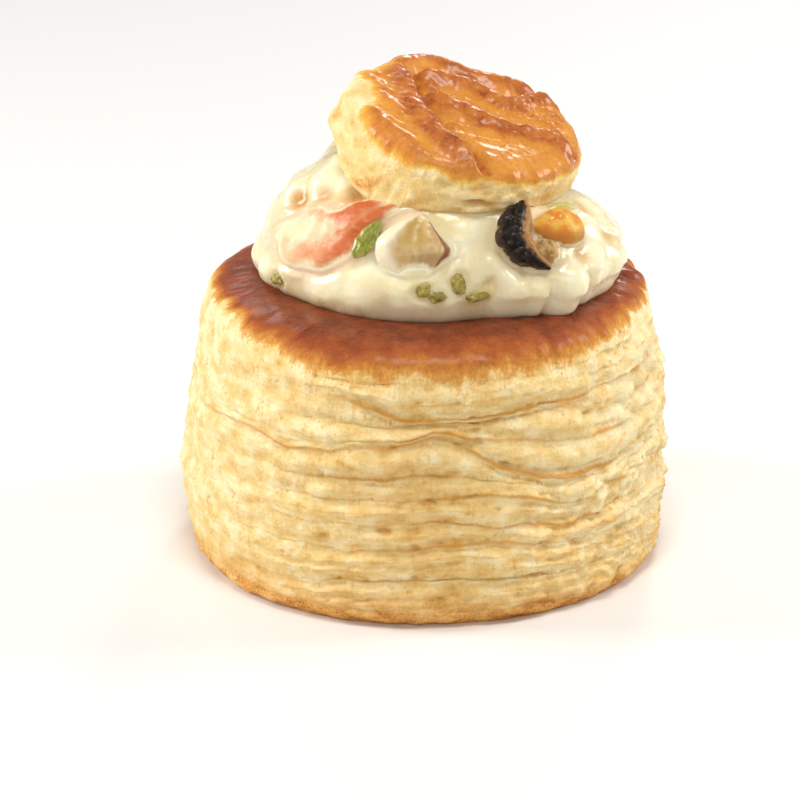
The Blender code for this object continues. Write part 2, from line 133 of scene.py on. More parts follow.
RIM_ROWS = 30
# How far down the egg glaze reaches, and over what height it fades: angle, height, fade.
GLAZE_EDGE = (
    (0, 47.8, 4.0), (30, 47.0, 5.0), (70, 47.6, 5.0), (110, 46.6, 6.0), (150, 48.4, 4.0), (185, 49.6, 3.4),
    (203, 49.6, 3.8), (215, 48.6, 4.8), (224, 47.4, 6.0), (237, 45.8, 7.6), (248, 44.8, 9.0),
    (259, 44.2, 10.0), (271, 43.9, 10.6), (283, 43.8, 11.0), (294, 43.8, 11.0), (305, 44.2, 10.0),
    (320, 45.8, 7.6), (342, 47.8, 5.2),
)
UNGLAZED_BELOW = CASE_HEIGHT - 9
PALE_PATCH = ((205, 34), 0.75)  # the smoother, spongier left side: angle and spread, and how much it calms

# --- the sauce's lumps --------------------------------------------------------------------------------

SAUCE_COLUMNS = 420
SAUCE_ROWS = 112
SAUCE_LIP = WELL_RADIUS + 0.9  # the radius where the plug meets the underside
LOBES = (  # the cream's rounded lobes, with creases where they meet: angle, climb, push, size
    (204, 0.49, 1.5, 3.6), (198, 0.62, 1.0, 3.2), (189, 0.40, 1.1, 3.2), (218, 0.54, 0.8, 3.0),
    (176, 0.28, 0.8, 3.6), (194, 0.06, 1.0, 3.0), (207, 0.07, 0.9, 2.6), (213, 0.12, 1.0, 2.6),
    (229, 0.05, 0.9, 4.6), (247, 0.06, 0.8, 4.6), (266, 0.06, 0.9, 5.0), (281, 0.05, 0.7, 3.6),
    (288, 0.17, 1.3, 3.8), (289, 0.30, 0.7, 3.2), (302, 0.035, 2.0, 3.4), (308.5, 0.03, 1.7, 2.8),
    (318, 0.04, 1.5, 3.9), (333, 0.05, 1.3, 3.2), (344, 0.06, 1.5, 3.4), (355, 0.04, 1.0, 3.2),
    (341, 0.41, 0.8, 2.8), (351, 0.30, 1.0, 3.0), (357, 0.48, 0.8, 2.8), (347, 0.18, 0.8, 2.6),
    (8, 0.16, 1.0, 3.6), (22, 0.24, 1.1, 4.2), (30, 0.05, 1.2, 4.0), (45, 0.14, 1.1, 4.4),
    (58, 0.04, 1.3, 3.8), (70, 0.25, 1.0, 4.2), (84, 0.05, 1.2, 3.8), (98, 0.16, 1.0, 4.0),
    (112, 0.05, 1.3, 3.8), (120, 0.32, 1.0, 4.0), (136, 0.08, 1.3, 4.2), (150, 0.22, 1.0, 3.8),
    (160, 0.05, 1.1, 3.6), (165, 0.40, 0.9, 3.8), (178, 0.08, 1.0, 3.4),
)
HOLLOWS = (  # hollows with painted ochre shade in them: angle, climb, depth, size, painted ochre shade from 0 to 1
    (198, 0.37, 0.8, 2.6, 1.0), (212, 0.43, 0.6, 2.2, 0.7), (229, 0.47, 1.1, 3.0, 0.9),
    (204, 0.045, 0.5, 1.5, 0.5), (284, 0.03, 0.5, 1.8, 0.2), (295, 0.06, 0.9, 2.0, 0.15),
    (276, 0.20, 0.4, 2.4, 0.15), (281, 0.11, 0.3, 1.8, 0.2), (241, 0.60, 1.4, 4.5, 0.1),
    (326, 0.20, 0.6, 2.2, 0.5), (345, 0.26, 0.6, 2.2, 0.5), (350, 0.52, 0.5, 2.0, 0.6),
    (40, 0.32, 0.8, 2.6, 0.6), (90, 0.30, 0.8, 2.6, 0.6), (140, 0.34, 0.9, 2.8, 0.7),
)
NOTCHES = (  # where the heap's foot draws in between two lobes: angle, depth, half width in degrees
    (201, 0.4, 1.8), (220, 0.3, 3.0), (256, 0.25, 4.0), (294, 0.5, 3.0), (312.7, 1.3, 1.7),
    (326, 1.25, 2.5), (350, 0.7, 2.0), (15, 1.0, 3.0), (46, 1.2, 2.6), (71, 1.2, 3.0), (98, 1.2, 2.6),
    (124, 1.0, 3.0), (150, 1.0, 3.0), (170, 0.8, 2.4),
)
RIDGES = (  # a soft fold between two places: angle and climb of each, push outwards, half width
    ((196, 0.31), (222, 0.36), 0.8, 0.9),
    ((296.5, 0.19), (302, 0.07), 0.6, 1.1),
    ((335, 0.18), (328, 0.11), 1.2, 1.2),
    ((328, 0.11), (329, 0.01), 1.1, 1.2),
    ((343, 0.46), (350, 0.25), 0.5, 1.0),
    ((30, 0.35), (60, 0.15), 0.7, 1.4),
    ((100, 0.12), (130, 0.30), 0.7, 1.4),
)
FOOT_TUCK = 1.3  # how far the foot's edge curls in under the lowest lobes
FOOT_LIP = 1.8  # and how high that curl is
FOOT_SINK = 0.25  # how far its edge sinks into the rim, so that no gap shows
FILM = 0.22  # how thick the sauce lies on its toppings' edges
TOPPING_REACH = 4.0  # how near a topping or the lid has to be for the sauce to follow it
LOBE_JOIN = 5  # how sharp the creases between the lobes are
DISC = (318.5, 0.05, 3.4, 0.6)  # a round slice just under the sauce: angle, climb, radius, height

# Pieces that lie on the heap. Each follows a route of (angle, climb from foot 0 to top 1), with its half
# widths along it, half its thickness, and how far its middle stands off the heap.
SALMON = dict(
    route=((188, 0.15), (199, 0.22), (211, 0.235), (223, 0.25),
           (234, 0.305), (244, 0.41), (256, 0.475), (271, 0.50)),
    half_widths=(3.0, 5.8, 6.6, 6.5, 5.3, 3.6, 3.1, 2.6), half_thickness=2.1, lift=-0.35,
)
LEEK_STRIP = dict(
    route=((242.3, 0.20), (245.2, 0.26), (248, 0.33), (251, 0.385)),
    half_widths=(1.9, 2.3, 1.8, 0.8), half_thickness=0.5, lift=1.7,
)
MUSHROOM = dict(
    route=((269, 0.455), (267.3, 0.38), (266.3, 0.30), (266.1, 0.22), (267.4, 0.13)),
    half_widths=(2.4, 5.0, 7.4, 8.8, 9.5), half_thickness=2.7, lift=-0.3,
)
MUSSEL_MANTLE = dict(
    route=((316.5, 0.68), (309.5, 0.51), (306, 0.375), (306.7, 0.265), (309.8, 0.185), (313, 0.13)),
    half_widths=(3.3, 3.7, 3.3, 3.0, 2.5, 1.7), half_thickness=2.5, lift=0.9,
)
ORANGE_LOBE = dict(
    route=((313, 0.465), (324, 0.43), (334, 0.36)),
    half_widths=(3.2, 4.1, 3.5), half_thickness=3.2, lift=0.1,
)
TAN_LOBE = dict(
    route=((310.5, 0.35), (313.5, 0.265), (317, 0.175)),
    half_widths=(3.0, 3.6, 2.8), half_thickness=2.3, lift=-0.8,
)
LEEK_SLICE = dict(
    route=((327, 0.58), (337, 0.55), (347, 0.54)),
    half_widths=(1.5, 1.9, 1.4), half_thickness=1.0, lift=0.2,
)
GREEN_BITS = (  # angle, climb, half length, half width
    (269.5, 0.088, 1.5, 1.2),
    (274, 0.06, 1.6, 1.1),
    (282, 0.095, 1.3, 2.0),
    (289, 0.04, 2.3, 0.9),
    (205, 0.05, 1.5, 1.0),
)

# --- the lid's folds ----------------------------------------------------------------------------------

LID_COLUMNS = 420
LID_SIDE_ROWS = 34
LID_TOP_ROWS = 85
# A crest through points of the lid's own plane, its height, its half widths on the gentle and the steep
# side, and how deep the valley beyond the steep side is. The steep side is on the left of the way along.
FOLDS = (
    (((-17.5, 3.0), (-14.8, -3.8), (-12.4, -8.0)), 0.7, 1.8, 1.5, 0.2),
    (((-18.0, -9.0), (-15.5, -13.0), (-10.8, -17.8), (-6.0, -22.0)), 0.9, 2.0, 1.5, 0.4),
    (((-12.0, 8.0), (-10.4, 1.8), (-9.6, -3.5), (-6.8, -9.3), (-4.3, -15.0), (-0.5, -18.0), (2.5, -22.5)),
     1.9, 3.6, 1.0, 1.7),
    (((-14.0, 6.5), (-9.5, 6.8), (-6.0, 5.2)), 0.9, 1.3, 0.9, 0.7),
    (((-9.5, 3.8), (-6.5, 3.2), (-3.5, 4.6)), 0.7, 1.0, 0.7, 0.6),
    (((-7.3, 1.5), (-3.5, 0.0), (0.3, -1.3), (3.8, -3.8), (9.0, -4.8), (15.8, -4.5), (19.0, -6.5)),
     1.9, 3.4, 1.1, 1.7),
    (((-3.0, -7.5), (2.0, -7.6), (6.5, -7.2), (12.0, -7.4)), 0.4, 1.2, 0.6, 0.35),
    (((-4.0, -11.5), (1.0, -11.2), (6.0, -10.6)), 0.3, 1.2, 0.6, 0.25),
    (((-7.5, 10.0), (-3.8, 9.8), (0.0, 10.2), (3.5, 8.0), (6.8, 5.6), (9.0, 6.6), (10.8, 10.0), (14.5, 12.5)),
     1.9, 3.0, 1.1, 1.8),
    (((-13.5, 14.5), (-8.8, 19.3), (-3.8, 16.5), (0.0, 14.8), (3.5, 15.0), (9.0, 15.6), (12.5, 14.5),
      (16.5, 12.2)),
     1.5, 2.4, 2.2, 0.0),
    (((12.5, 4.5), (15.5, 1.5), (18.5, -2.5)), 0.7, 1.5, 0.8, 0.5),
    (((9.0, 2.6), (13.0, 1.8), (17.0, 3.8)), 0.6, 1.4, 0.8, 0.5),
    (((12.0, 9.0), (15.5, 7.5), (18.5, 5.0)), 0.6, 1.3, 0.8, 0.5),
)
GATHERS = (  # the glazed skin's folds over the lid's edge: angle, push outwards, half width in degrees
    (283, 0.35, 3.0), (294, 0.55, 3.4), (309, 0.85, 3.6), (321, 0.75, 3.0), (333, 0.7, 3.4),
    (347, 0.5, 4.0), (20, 0.5, 4.0), (70, 0.5, 4.0), (105, 0.4, 4.0),
)
LID_BUMPS = (  # angle, height, push outwards, spread in degrees, spread in height
    (179, 4.2, 1.9, 14, 2.1),
    (176, 8.4, 0.5, 12, 1.6),
    (166, 11.6, 2.6, 10, 1.3),
    (205, 2.0, 0.9, 16, 2.6),
    (234, 1.2, 2.6, 28, 3.2),
    (330, 3.5, -0.5, 20, 2.4),
    (100, 5.0, 0.7, 24, 3.0),
)
LID_SAG = (232, 36, 3.7)  # where the lid's edge sags over the heap: angle and spread in degrees, and how far
LID_CRACK = (281, 12, 3.4, 0.6)  # a torn line in its side: angle and spread, height, half width
LID_GLAZE_EDGE = (  # how far down the lid's side the glaze reaches: angle, height
    (0, 8.0), (40, 8.0), (90, 8.6), (130, 9.6), (155, 10.6), (168, 11.6), (182, 12.6), (196, 11.6),
    (207, 9.4), (218, 8.0), (232, 7.4), (247, 7.0), (260, 7.0), (280, 7.2), (300, 7.2), (328, 7.2),
    (345, 7.6),
)

# --- the pastry's colours, from 0 to 255 on screen; a ramp's stops give each its place ------------------

CRUMB = ((0.22, (206, 154, 78)), (0.36, (234, 197, 124)), (0.52, (245, 217, 154)), (0.68, (254, 237, 190)))
EDGE_TONE = (206, 138, 34)
# Painted shade: the darker tone of the pores, pockets and cracks.
PIT_SHADE_TONE = (192, 128, 48)
TOAST = ((0.36, (150, 88, 38)), (0.45, (214, 140, 62)), (0.56, (240, 182, 100)), (0.66, (250, 212, 140)))
CASE_GLAZE = (
    (0.0, (240, 200, 122)), (0.2, (226, 168, 84)), (0.42, (196, 123, 50)), (0.64, (168, 87, 35)),
    (0.84, (143, 65, 28)), (1.0, (110, 46, 22)),
)
LID_GLAZE = (
    (0.0, (248, 214, 140)), (0.2, (242, 196, 104)), (0.45, (230, 162, 64)), (0.75, (208, 130, 48)),
    (0.92, (180, 97, 34)), (1.0, (146, 66, 22)),
)

# --- the studio ---------------------------------------------------------------------------------------

CAMERA_TILT = 21.5  # degrees down
CAMERA_DISTANCE = 950.0
CAMERA_AIM = (-4.7, 0.0, 27.5)
FIELD_PIXELS = 5035.0  # focal length, in pixels of the picture
PICTURE_PIXELS = 800
SENSOR = 36.0
LIGHTS = (  # name, place in metres, size, power in watts, colour
    ("left_window", (-0.60, 0.05, 0.30), (0.24, 0.32), 3.05, (1.0, 0.97, 0.93)),
    ("right_window", (0.58, 0.14, 0.32), (0.24, 0.32), 2.5, (1.0, 0.97, 0.93)),
    ("back_left_lamp", (-0.22, 0.70, 0.50), (0.16, 0.12), 0.3, (1.0, 0.98, 0.95)),
    ("back_right_lamp", (0.17, 0.74, 0.39), (0.14, 0.12), 1.2, (1.0, 0.98, 0.95)),
    ("front_fill", (-0.10, -0.80, 0.50), (0.60, 0.40), 2.1, (1.0, 0.95, 0.88)),
    ("top_sky", (0.05, -0.25, 0.80), (0.32, 0.22), 3.2, (1.0, 0.98, 0.95)),
)
LIGHTS_AIM = (0, 0, 0.05)
WORLD_LIGHT = 0.17
FLOOR_HALF = 4.0


# --- shape maths --------------------------------------------------------------------------------------


def smoothstep(low, high, value):
    """0 at low, 1 at high, and a smooth climb between them."""
    share = min(1.0, max(0.0, (value - low) / (high - low)))
    return share * share * (3 - 2 * share)


def bell(distance, width):
    return math.exp(-((distance / width) ** 2))


def beside(angle, at, spread):
    """1 where the angle is at this many degrees, falling to 0 on both sides of it."""
    apart = (math.degrees(angle) - at + 180) % 360 - 180
    return bell(apart, spread)


def swells_round(swells, angle):
    """What swellings of (angle, push, spread) add up to at this angle."""
    return sum(push * beside(angle, at, spread) for at, push, spread in swells)


def swells_at(swells, angle, height):
    """What swellings of (angle, height, push, spread, spread in height) add up to here."""
    return sum(
        push * beside(angle, at, spread) * bell(height - level, tall)
        for at, level, push, spread, tall in swells
    )


def at_angle(radius, angle, height):
    return Vector((radius * math.cos(angle), radius * math.sin(angle), height))


def wobble(x, y, z):
    """Smooth noise from -1 to 1."""
    return noise.noise(Vector((x, y, z)))


def ring_noise(angle, height, around, upward, seed):
    """Smooth noise from -1 to 1 that closes round the axis: around and upward are its frequencies."""
    return wobble(math.cos(angle) * around + seed, math.sin(angle) * around, height * upward)


def between(values, share):
    """The value at this share of the way along an evenly spaced list of numbers."""
    place = min(max(share, 0.0), 1.0) * (len(values) - 1)
    index = min(int(place), len(values) - 2)
    return values[index] + (values[index + 1] - values[index]) * (place - index)


def curved(before, start, end, after, share):
    """A Catmull-Rom curve from start to end, for numbers or vectors."""
    return 0.5 * (
        2 * start
        + (end - before) * share
        + (2 * before - 5 * start + 4 * end - after) * share**2
        + (3 * start - before - 3 * end + after) * share**3
    )


def round_the_ring(points, degrees):
    """The values of the closed curve through points (angle in degrees, value, ...) at this angle."""
    count = len(points)
    last = max((index for index in range(count) if points[index][0] <= degrees), default=count - 1)
    knots = [points[(last + step) % count] for step in (-1, 0, 1, 2)]
    start, end = knots[1][0], knots[2][0]
    share = ((degrees - start) % 360) / ((end - start) % 360)
    return [curved(*[knot[column] for knot in knots], share) for column in range(1, len(points[0]))]


def along_curve(points, share):
    """A point of the open Catmull-Rom curve through evenly shared points."""
    place = min(max(share, 0.0), 1.0) * (len(points) - 1)
    index = min(int(place), len(points) - 2)
    knots = [Vector(points[min(max(index + step, 0), len(points) - 1)]) for step in (-1, 0, 1, 2)]
    return curved(*knots, place - index)


# --- meshes -------------------------------------------------------------------------------------------


def turned_rows(count, columns, place_at, names):
    """A closed bmesh of rings between two poles: place_at(row, angle) gives each point and its values.

    The spun disc only numbers the points: row i lies at radius i, and the last pole lies over the first.
    """
    bm = bmesh.new()
    spine = [bm.verts.new((row, 0, 0)) for row in range(count - 1)] + [bm.verts.new((0, 0, 1))]
    edges = [bm.edges.new(pair) for pair in zip(spine, spine[1:])]
    bmesh.ops.spin(
        bm, geom=spine + edges, cent=(0, 0, 0), axis=(0, 0, 1), angle=math.tau, steps=columns, use_merge=True
    )
    bmesh.ops.remove_doubles(bm, verts=bm.verts, dist=0.001)
    bmesh.ops.recalc_face_normals(bm, faces=bm.faces)
    layers = [bm.verts.layers.float.new(name) for name in names]
    for vert in bm.verts:
        row = count - 1 if vert.co.z > 0.5 else round(math.hypot(vert.co.x, vert.co.y))
        place, values = place_at(row, math.atan2(vert.co.y, vert.co.x) % math.tau)
        vert.co = place
        for layer, value in zip(layers, values):
            vert[layer] = value
    return face_outward(bm)


def face_outward(bm):
    """Turns the faces of a closed bmesh out if they face in, and works out their normals."""
    if bm.calc_volume(signed=True) < 0:
        bmesh.ops.reverse_faces(bm, faces=bm.faces)
    bm.normal_update()
    return bm


def make_piece(name, bm, finish, slot, *nodes):
    """A smooth piece of the bmesh, which is in millimetres. It stands for the named nodes."""
    mesh = bpy.data.meshes.new(name)
    bm.to_mesh(mesh)
    bm.free()
    mesh.transform(Matrix.Scale(MM, 4))
    mesh.shade_smooth()
    mesh.materials.append(finish)
    piece = bpy.data.objects.new(name, mesh)
    bpy.context.scene.collection.objects.link(piece)
    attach(piece, "root")
    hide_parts(*nodes)
    return piece


# --- materials ----------------------------------------------------------------------------------------


class Wire:
    """One output of a node. Arithmetic on wires and numbers adds Math nodes."""

    def __init__(self, finish, socket):
        self.finish = finish
        self.socket = socket

    def math(self, operation, *values):
        return self.finish.node("ShaderNodeMath", {"operation": operation}, dict(enumerate(values)))

    def __add__(self, other):
        return self.math("ADD", self, other)

    def __sub__(self, other):
        return self.math("SUBTRACT", self, other)

    def __rsub__(self, other):
        return self.math("SUBTRACT", other, self)

    def __mul__(self, other):
        return self.math("MULTIPLY", self, other)

    __radd__ = __add__
    __rmul__ = __mul__

    def climb(self, low, high):
        """0 at low, 1 at high, and smooth between them."""
        return self.finish.node(
            "ShaderNodeMapRange",
            {"interpolation_type": "SMOOTHSTEP"},
            {"Value": self, "From Min": low, "From Max": high},
        )


class Finish:
    """A material, with calls that add its nodes. Constants go straight on the shader's sockets."""

    def __init__(self, name, constants):
        self.material = bpy.data.materials.new(name)
        self.material.use_nodes = True
        self.shader = self.material.node_tree.nodes["Principled BSDF"]
        for socket, value in constants.items():
            self.shader.inputs[socket].default_value = value
        coordinate = self.node("ShaderNodeTexCoord", output="Object")
        in_mm = {0: coordinate, "Scale": 1 / MM}
        self.place = self.node("ShaderNodeVectorMath", {"operation": "SCALE"}, in_mm)

    def node(self, kind, settings=None, inputs=None, output=0):
        """Adds a node: its settings, then the values or wires of its sockets. Gives one output."""
        node = self.material.node_tree.nodes.new(kind)
        for name, value in (settings or {}).items():
            if name == "stops":
                set_stops(node.color_ramp, value)
            else:
                setattr(node, name, value)
        for name, value in (inputs or {}).items():
            self.feed(node.inputs[name], value)
        return Wire(self, node.outputs[output])

    def feed(self, socket, value):
        if isinstance(value, Wire):
            self.material.node_tree.links.new(value.socket, socket)
        elif socket.type == "RGBA":
            socket.default_value = (*paint(*value), 1)
        else:
            socket.default_value = value

    def attribute(self, name):
        return self.node("ShaderNodeAttribute", {"attribute_name": name}, output="Fac")

    def grain(self, size, detail=2.0, rough=0.5, stretch=(1, 1, 1)):
        """Noise from 0 to 1 with features of this size in millimetres, stretched along x, y and z."""
        frequency = tuple(1 / (size * factor) for factor in stretch)
        vector = self.node("ShaderNodeVectorMath", {"operation": "MULTIPLY"}, {0: self.place, 1: frequency})
        sockets = {"Vector": vector, "Scale": 1.0, "Detail": detail, "Roughness": rough}
        return self.node("ShaderNodeTexNoise", {}, sockets)

    def mix(self, share, first, second):
        return self.node("ShaderNodeMix", {"data_type": "RGBA"}, {0: share, 6: first, 7: second}, output=2)

    def ramp(self, value, stops):
        return self.node("ShaderNodeValToRGB", {"stops": stops}, {"Fac": value})

    def bump(self, height, distance_mm):
        """Feeds the shader's normal with a height from 0 to 1 that stands for this many millimetres."""
        sockets = {"Height": height, "Strength": 1.0, "Distance": distance_mm * MM}
        normal = self.node("ShaderNodeBump", {}, sockets)
        self.feed(self.shader.inputs["Normal"], normal)


def set_stops(ramp, stops):
    """Gives a colour ramp its stops of (place, colour)."""
    while len(ramp.elements) < len(stops):
        ramp.elements.new(0.5)
    for element, (position, colour) in zip(ramp.elements, stops):
        element.position = position
        element.color = (*paint(*colour), 1)


def paint(*screen):
    """A colour given as 0 to 255 on screen, as the renderer's linear colour."""
    return tuple(
        ((value / 255 + 0.055) / 1.055) ** 2.4 if value > 10 else value / 255 / 12.92 for value in screen
    )


def pastry_finish(name, glaze_stops, layered, gloss):
    """Baked puff pastry: a pale, fibrous crumb with toasted edges and painted shade in its pores, under a
    brown egg glaze.
    """
    finish = Finish(name, {
        "IOR": 1.45, "Specular IOR Level": 0.22, "Subsurface Weight": 0.08,
        "Subsurface Radius": (1.0, 0.6, 0.3), "Subsurface Scale": 1.2 * MM,
        "Coat Roughness": 0.28 - 0.08 * gloss,
    })
    edge, pit, brown, toast = (finish.attribute(key) for key in ("edge", "pit", "brown", "toast"))
    curd = finish.grain(2.8, 5, 0.56, (1.5, 1.5, 1))
    fibres = finish.grain(0.6, 3, 0.6, (1, 1, 5))
    leaves = finish.grain(1.1, 4, 0.6, (9, 9, 0.7))
    speckle = finish.grain(0.5, 3, 0.65)
    tone = curd + (0.5 - fibres) * 0.14 + (0.5 - leaves) * 0.2 * layered + (0.5 - speckle) * 0.18
    # Toasting darkens the crumb: real toasting at the base, painted shade on the case's front and painted
    # light on its sides.
    colour = finish.ramp(tone - toast * 0.1, CRUMB)
    colour = finish.mix(edge.climb(0.1, 1.0) * 0.8, colour, EDGE_TONE)
    # Painted shade in the pores, pockets and cracks.
    colour = finish.mix(pit.climb(0.15, 1.1) * 0.75, colour, PIT_SHADE_TONE)
    toasted = finish.ramp(speckle * 0.6 + curd * 0.4, TOAST)
    colour = finish.mix(toast.climb(0.0, 0.9) * 0.9, colour, toasted)
    patches = finish.grain(3.2, 5, 0.62) - 0.5
    fuzz = finish.grain(0.75, 3, 0.6, (1, 1, 4)) - 0.5
    depth = brown * 0.94 + patches * 0.66 + fuzz * (0.5 - 0.4 * brown) + (speckle - 0.5) * 0.24
    colour = finish.mix(depth.climb(0.02, 0.24), colour, finish.ramp(depth, glaze_stops))
    finish.feed(finish.shader.inputs["Base Color"], colour)
    glazed = depth.climb(0.3, 0.75)
    finish.feed(finish.shader.inputs["Roughness"], 0.75 - 0.25 * glazed + (speckle - 0.5) * 0.2)
    finish.feed(finish.shader.inputs["Coat Weight"], gloss * glazed)
    crumb = curd * 0.9 + (0 - fibres) * 0.45 + (0 - speckle) * 0.4 + (0 - leaves) * 0.25 * layered
    skin = finish.grain(0.9, 4, 0.6) * 0.4
    finish.bump(crumb * (1 - glazed) + skin * glazed, 0.7)
    return finish.material


def cream_finish():
    """Wet cream sauce: pale and a little see-through, with painted ochre and yellow-green shade in its
    hollows and creases.
    """
    finish = Finish("cream_sauce", {
        "IOR": 1.45, "Subsurface Weight": 0.55, "Subsurface Radius": (1.0, 0.75, 0.42),
        "Subsurface Scale": 2.2 * MM, "Coat Weight": 0.36, "Coat Roughness": 0.1,
    })
    hollow, ochre = finish.attribute("hollow"), finish.attribute("ochre")
    pink, mussel_shade, leaf = (finish.attribute(key) for key in ("salmon_stain", "mussel_stain", "leek_stain"))
    cloud = finish.grain(7)
    fleck = finish.grain(1.6, 3)
    colour = finish.mix(cloud.climb(0.38, 0.66), (249, 241, 209), (240, 228, 186))
    # Painted shade: a yellow-green tone in the creases between the lobes.
    colour = finish.mix(hollow.climb(0.2, 1.0) * 0.55, colour, (226, 204, 138))
    # Painted ochre shade in the hollows.
    colour = finish.mix(ochre * (0.8 + 0.45 * fleck), colour, (200, 142, 64))
    colour = finish.mix(pink * 0.5, colour, (238, 190, 150))
    # Painted shadow: a brown halo in the sauce round the mussel.
    colour = finish.mix(mussel_shade * 0.4, colour, (170, 130, 84))
    colour = finish.mix(leaf * (0.1 + 0.55 * fleck), colour, (196, 180, 100))
    colour = finish.mix(fleck.climb(0.62, 0.8) * 0.35, colour, (214, 196, 128))
    finish.feed(finish.shader.inputs["Base Color"], colour)
    finish.feed(finish.shader.inputs["Roughness"], 0.2 + 0.16 * finish.grain(3))
    finish.bump(finish.grain(1.3, 3) * 0.7 + finish.grain(0.4) * 0.12, 0.16)
    return finish.material


def wet_finish(name, colour_of, rough=0.24, gloss=0.6, glow=0.3, specular=0.5):
    """A wet piece in the sauce: colour_of(finish) gives its colour, and cream coats it where it is sunk."""
    finish = Finish(name, {
        "IOR": 1.42, "Specular IOR Level": specular, "Subsurface Weight": glow,
        "Subsurface Radius": (1.0, 0.5, 0.3), "Subsurface Scale": 1.4 * MM,
        "Coat Weight": gloss, "Coat Roughness": 0.05,
    })
    coat = finish.attribute("coat")
    ragged = coat + (finish.grain(1.8, 4, 0.6) - 0.5) * 0.9
    colour = finish.mix(ragged.climb(0.2, 1.0), colour_of(finish), (247, 234, 194))
    finish.feed(finish.shader.inputs["Base Color"], colour)
    finish.feed(finish.shader.inputs["Roughness"], rough + 0.12 * finish.grain(1.1))
    finish.bump(finish.grain(0.6, 3), 0.12)
    return finish.material


# --- the pastry case ----------------------------------------------------------------------------------


def side_radius(height):
    """The side's plain radius: widest low down, drawn in towards the shoulder and rounded to the base."""
    taper = (CASE_RADIUS - SHOULDER_RADIUS) * smoothstep(20, CASE_HEIGHT, height)
    rounding = 0.7 * (1 - smoothstep(0, 7, height))
    undercut = 1.7 * max(0.0, 1 - height / 2.3) ** 2
    return CASE_RADIUS - taper - rounding - undercut


def rim_height(radius):
    """The domed top's plain height."""
    return CASE_HEIGHT + RIM_RISE * (1 - ((radius - RIM_CREST_RADIUS) / 10) ** 2)


def bulge(angle, height):
    return 0.9 * ring_noise(angle, height, 1.1, 0.03, 3.0) + swells_at(BULGES, angle, height)


def calm(angle):
    """1 on the smooth left side of the case, 0 elsewhere."""
    (at, spread), share = PALE_PATCH
    return share * beside(angle, at, spread)


def layer_heights(column):
    """(height, sharpness) of every layer line at this column, from the base to the shoulder."""
    angle = math.tau * column / CASE_COLUMNS
    lines = [(0.0, 0.0)]
    for index, points in enumerate(LAYER_LINES):
        height, sharpness = round_the_ring(points, math.degrees(angle))
        height += 0.8 * ring_noise(angle, index * 9.0, 7.0, 1.0, 61.0)
        height += 0.22 * ring_noise(angle, index * 9.0, 24.0, 1.0, 67.0)
        patchy = 0.85 + (1.5 - sharpness) * ring_noise(angle, index * 5.0, 4.0, 1.0, 71.0)
        lines.append((max(height, lines[-1][0] + THINNEST_LAYER), max(0.0, sharpness * patchy)))
    lines.append((RIM_LINE + 0.4 * ring_noise(angle, 0, 5.0, 1.0, 73.0), 0.0))
    return lines


def case_rows():
    """What each ring of the case is: a flat one, a share of a leaf between two lines, or part of the rim."""
    rows = [("flat", radius, 0.0) for radius in (0.0, 22.0, 36.0, 40.5)]
    for line, leaves in enumerate(LEAVES_BETWEEN):
        rows += [("leaf", line, leaf, leaves, share) for leaf in range(leaves) for share in LEAF_SHARES]
    rows += [("rim", row / RIM_ROWS) for row in range(RIM_ROWS + 1)]
    well = [
        (WELL_RADIUS, 30.0), (WELL_RADIUS, WELL_FLOOR + 2), (WELL_RADIUS - 2, WELL_FLOOR), (0.0, WELL_FLOOR),
    ]
    return rows + [("flat", *point) for point in well]


def frill(angle, height):
    """1 where the layers have torn into a frilled, pocketed crumb: the right side, and in patches behind."""
    right = beside(angle, 340, 34)
    behind = 0.7 * beside(angle, 85, 26) + 0.6 * beside(angle, 140, 16)
    low_front = 0.5 * beside(angle, 300, 30) * (1 - smoothstep(20, 30, height))
    return min(1.0, right + behind + low_front)


def leaf_relief(angle, height, number, share, thickness, low_edge, high_edge):
    """How far a leaf of pastry stands out here, how much of its browned edges shows, and how much painted
    shade its pores get.
    """

    def crumb_noise(around, upward, seed=(0, 0, 0)):
        return noise.noise(at_angle(CASE_RADIUS * around, angle, height * upward) + Vector(seed))

    loud = 1 - calm(angle)
    torn = frill(angle, height)
    puff = 0.22 + 0.5 * ring_noise(angle, number * 3.7, 3.0, 1.0, 51.0)
    out = (puff * min(1.0, thickness / 3.0) + 0.05) * (1 - (2 * share - 1) ** 2)
    edge = 0.0
    for distance, sharp in ((share * thickness, low_edge), ((1 - share) * thickness, high_edge)):
        out += 0.6 * sharp * bell(distance, 0.5) - 0.65 * sharp * bell(distance - 1.15, 0.6)
        edge = max(edge, sharp * (0.7 * bell(distance, 0.45) + 0.3 * bell(distance, 1.3)))
    lumps = crumb_noise(0.16, 0.26, (5, 2, 8)) + 0.5 * crumb_noise(0.4, 0.6)
    lace = crumb_noise(0.3, 0.42, (2, 9, 4))
    fine_lace = crumb_noise(0.62, 0.85, (1, 3, 6))
    puffs = 2.2 * abs(crumb_noise(0.13, 0.2, (7, 1, 3))) - 0.5
    hatch = 0.16 * crumb_noise(0.75, 0.16) * (0.4 + 0.6 * loud)
    hole = smoothstep(0.5, 0.75, crumb_noise(0.26, 0.5, (31, 2, 9))) * loud
    pore = smoothstep(0.42, 0.68, crumb_noise(0.6, 0.9, (3, 7, 1))) * bell(share - 0.1, 0.22) * loud
    pocket = 1 - bell(lace, 0.15)
    # How much painted shade the holes, pores and torn pockets get.
    pit = max(0.8 * hole, 0.7 * pore, 0.35 * torn * pocket * smoothstep(0.1, 0.4, abs(lace)))
    out += hatch + 0.42 * lumps + torn * (0.3 - 0.45 * pocket + puffs)
    out += (0.12 + 0.04 * torn) * (1.2 * bell(fine_lace, 0.2) - 0.5)
    return out - 0.45 * max(hole, pore), edge, pit


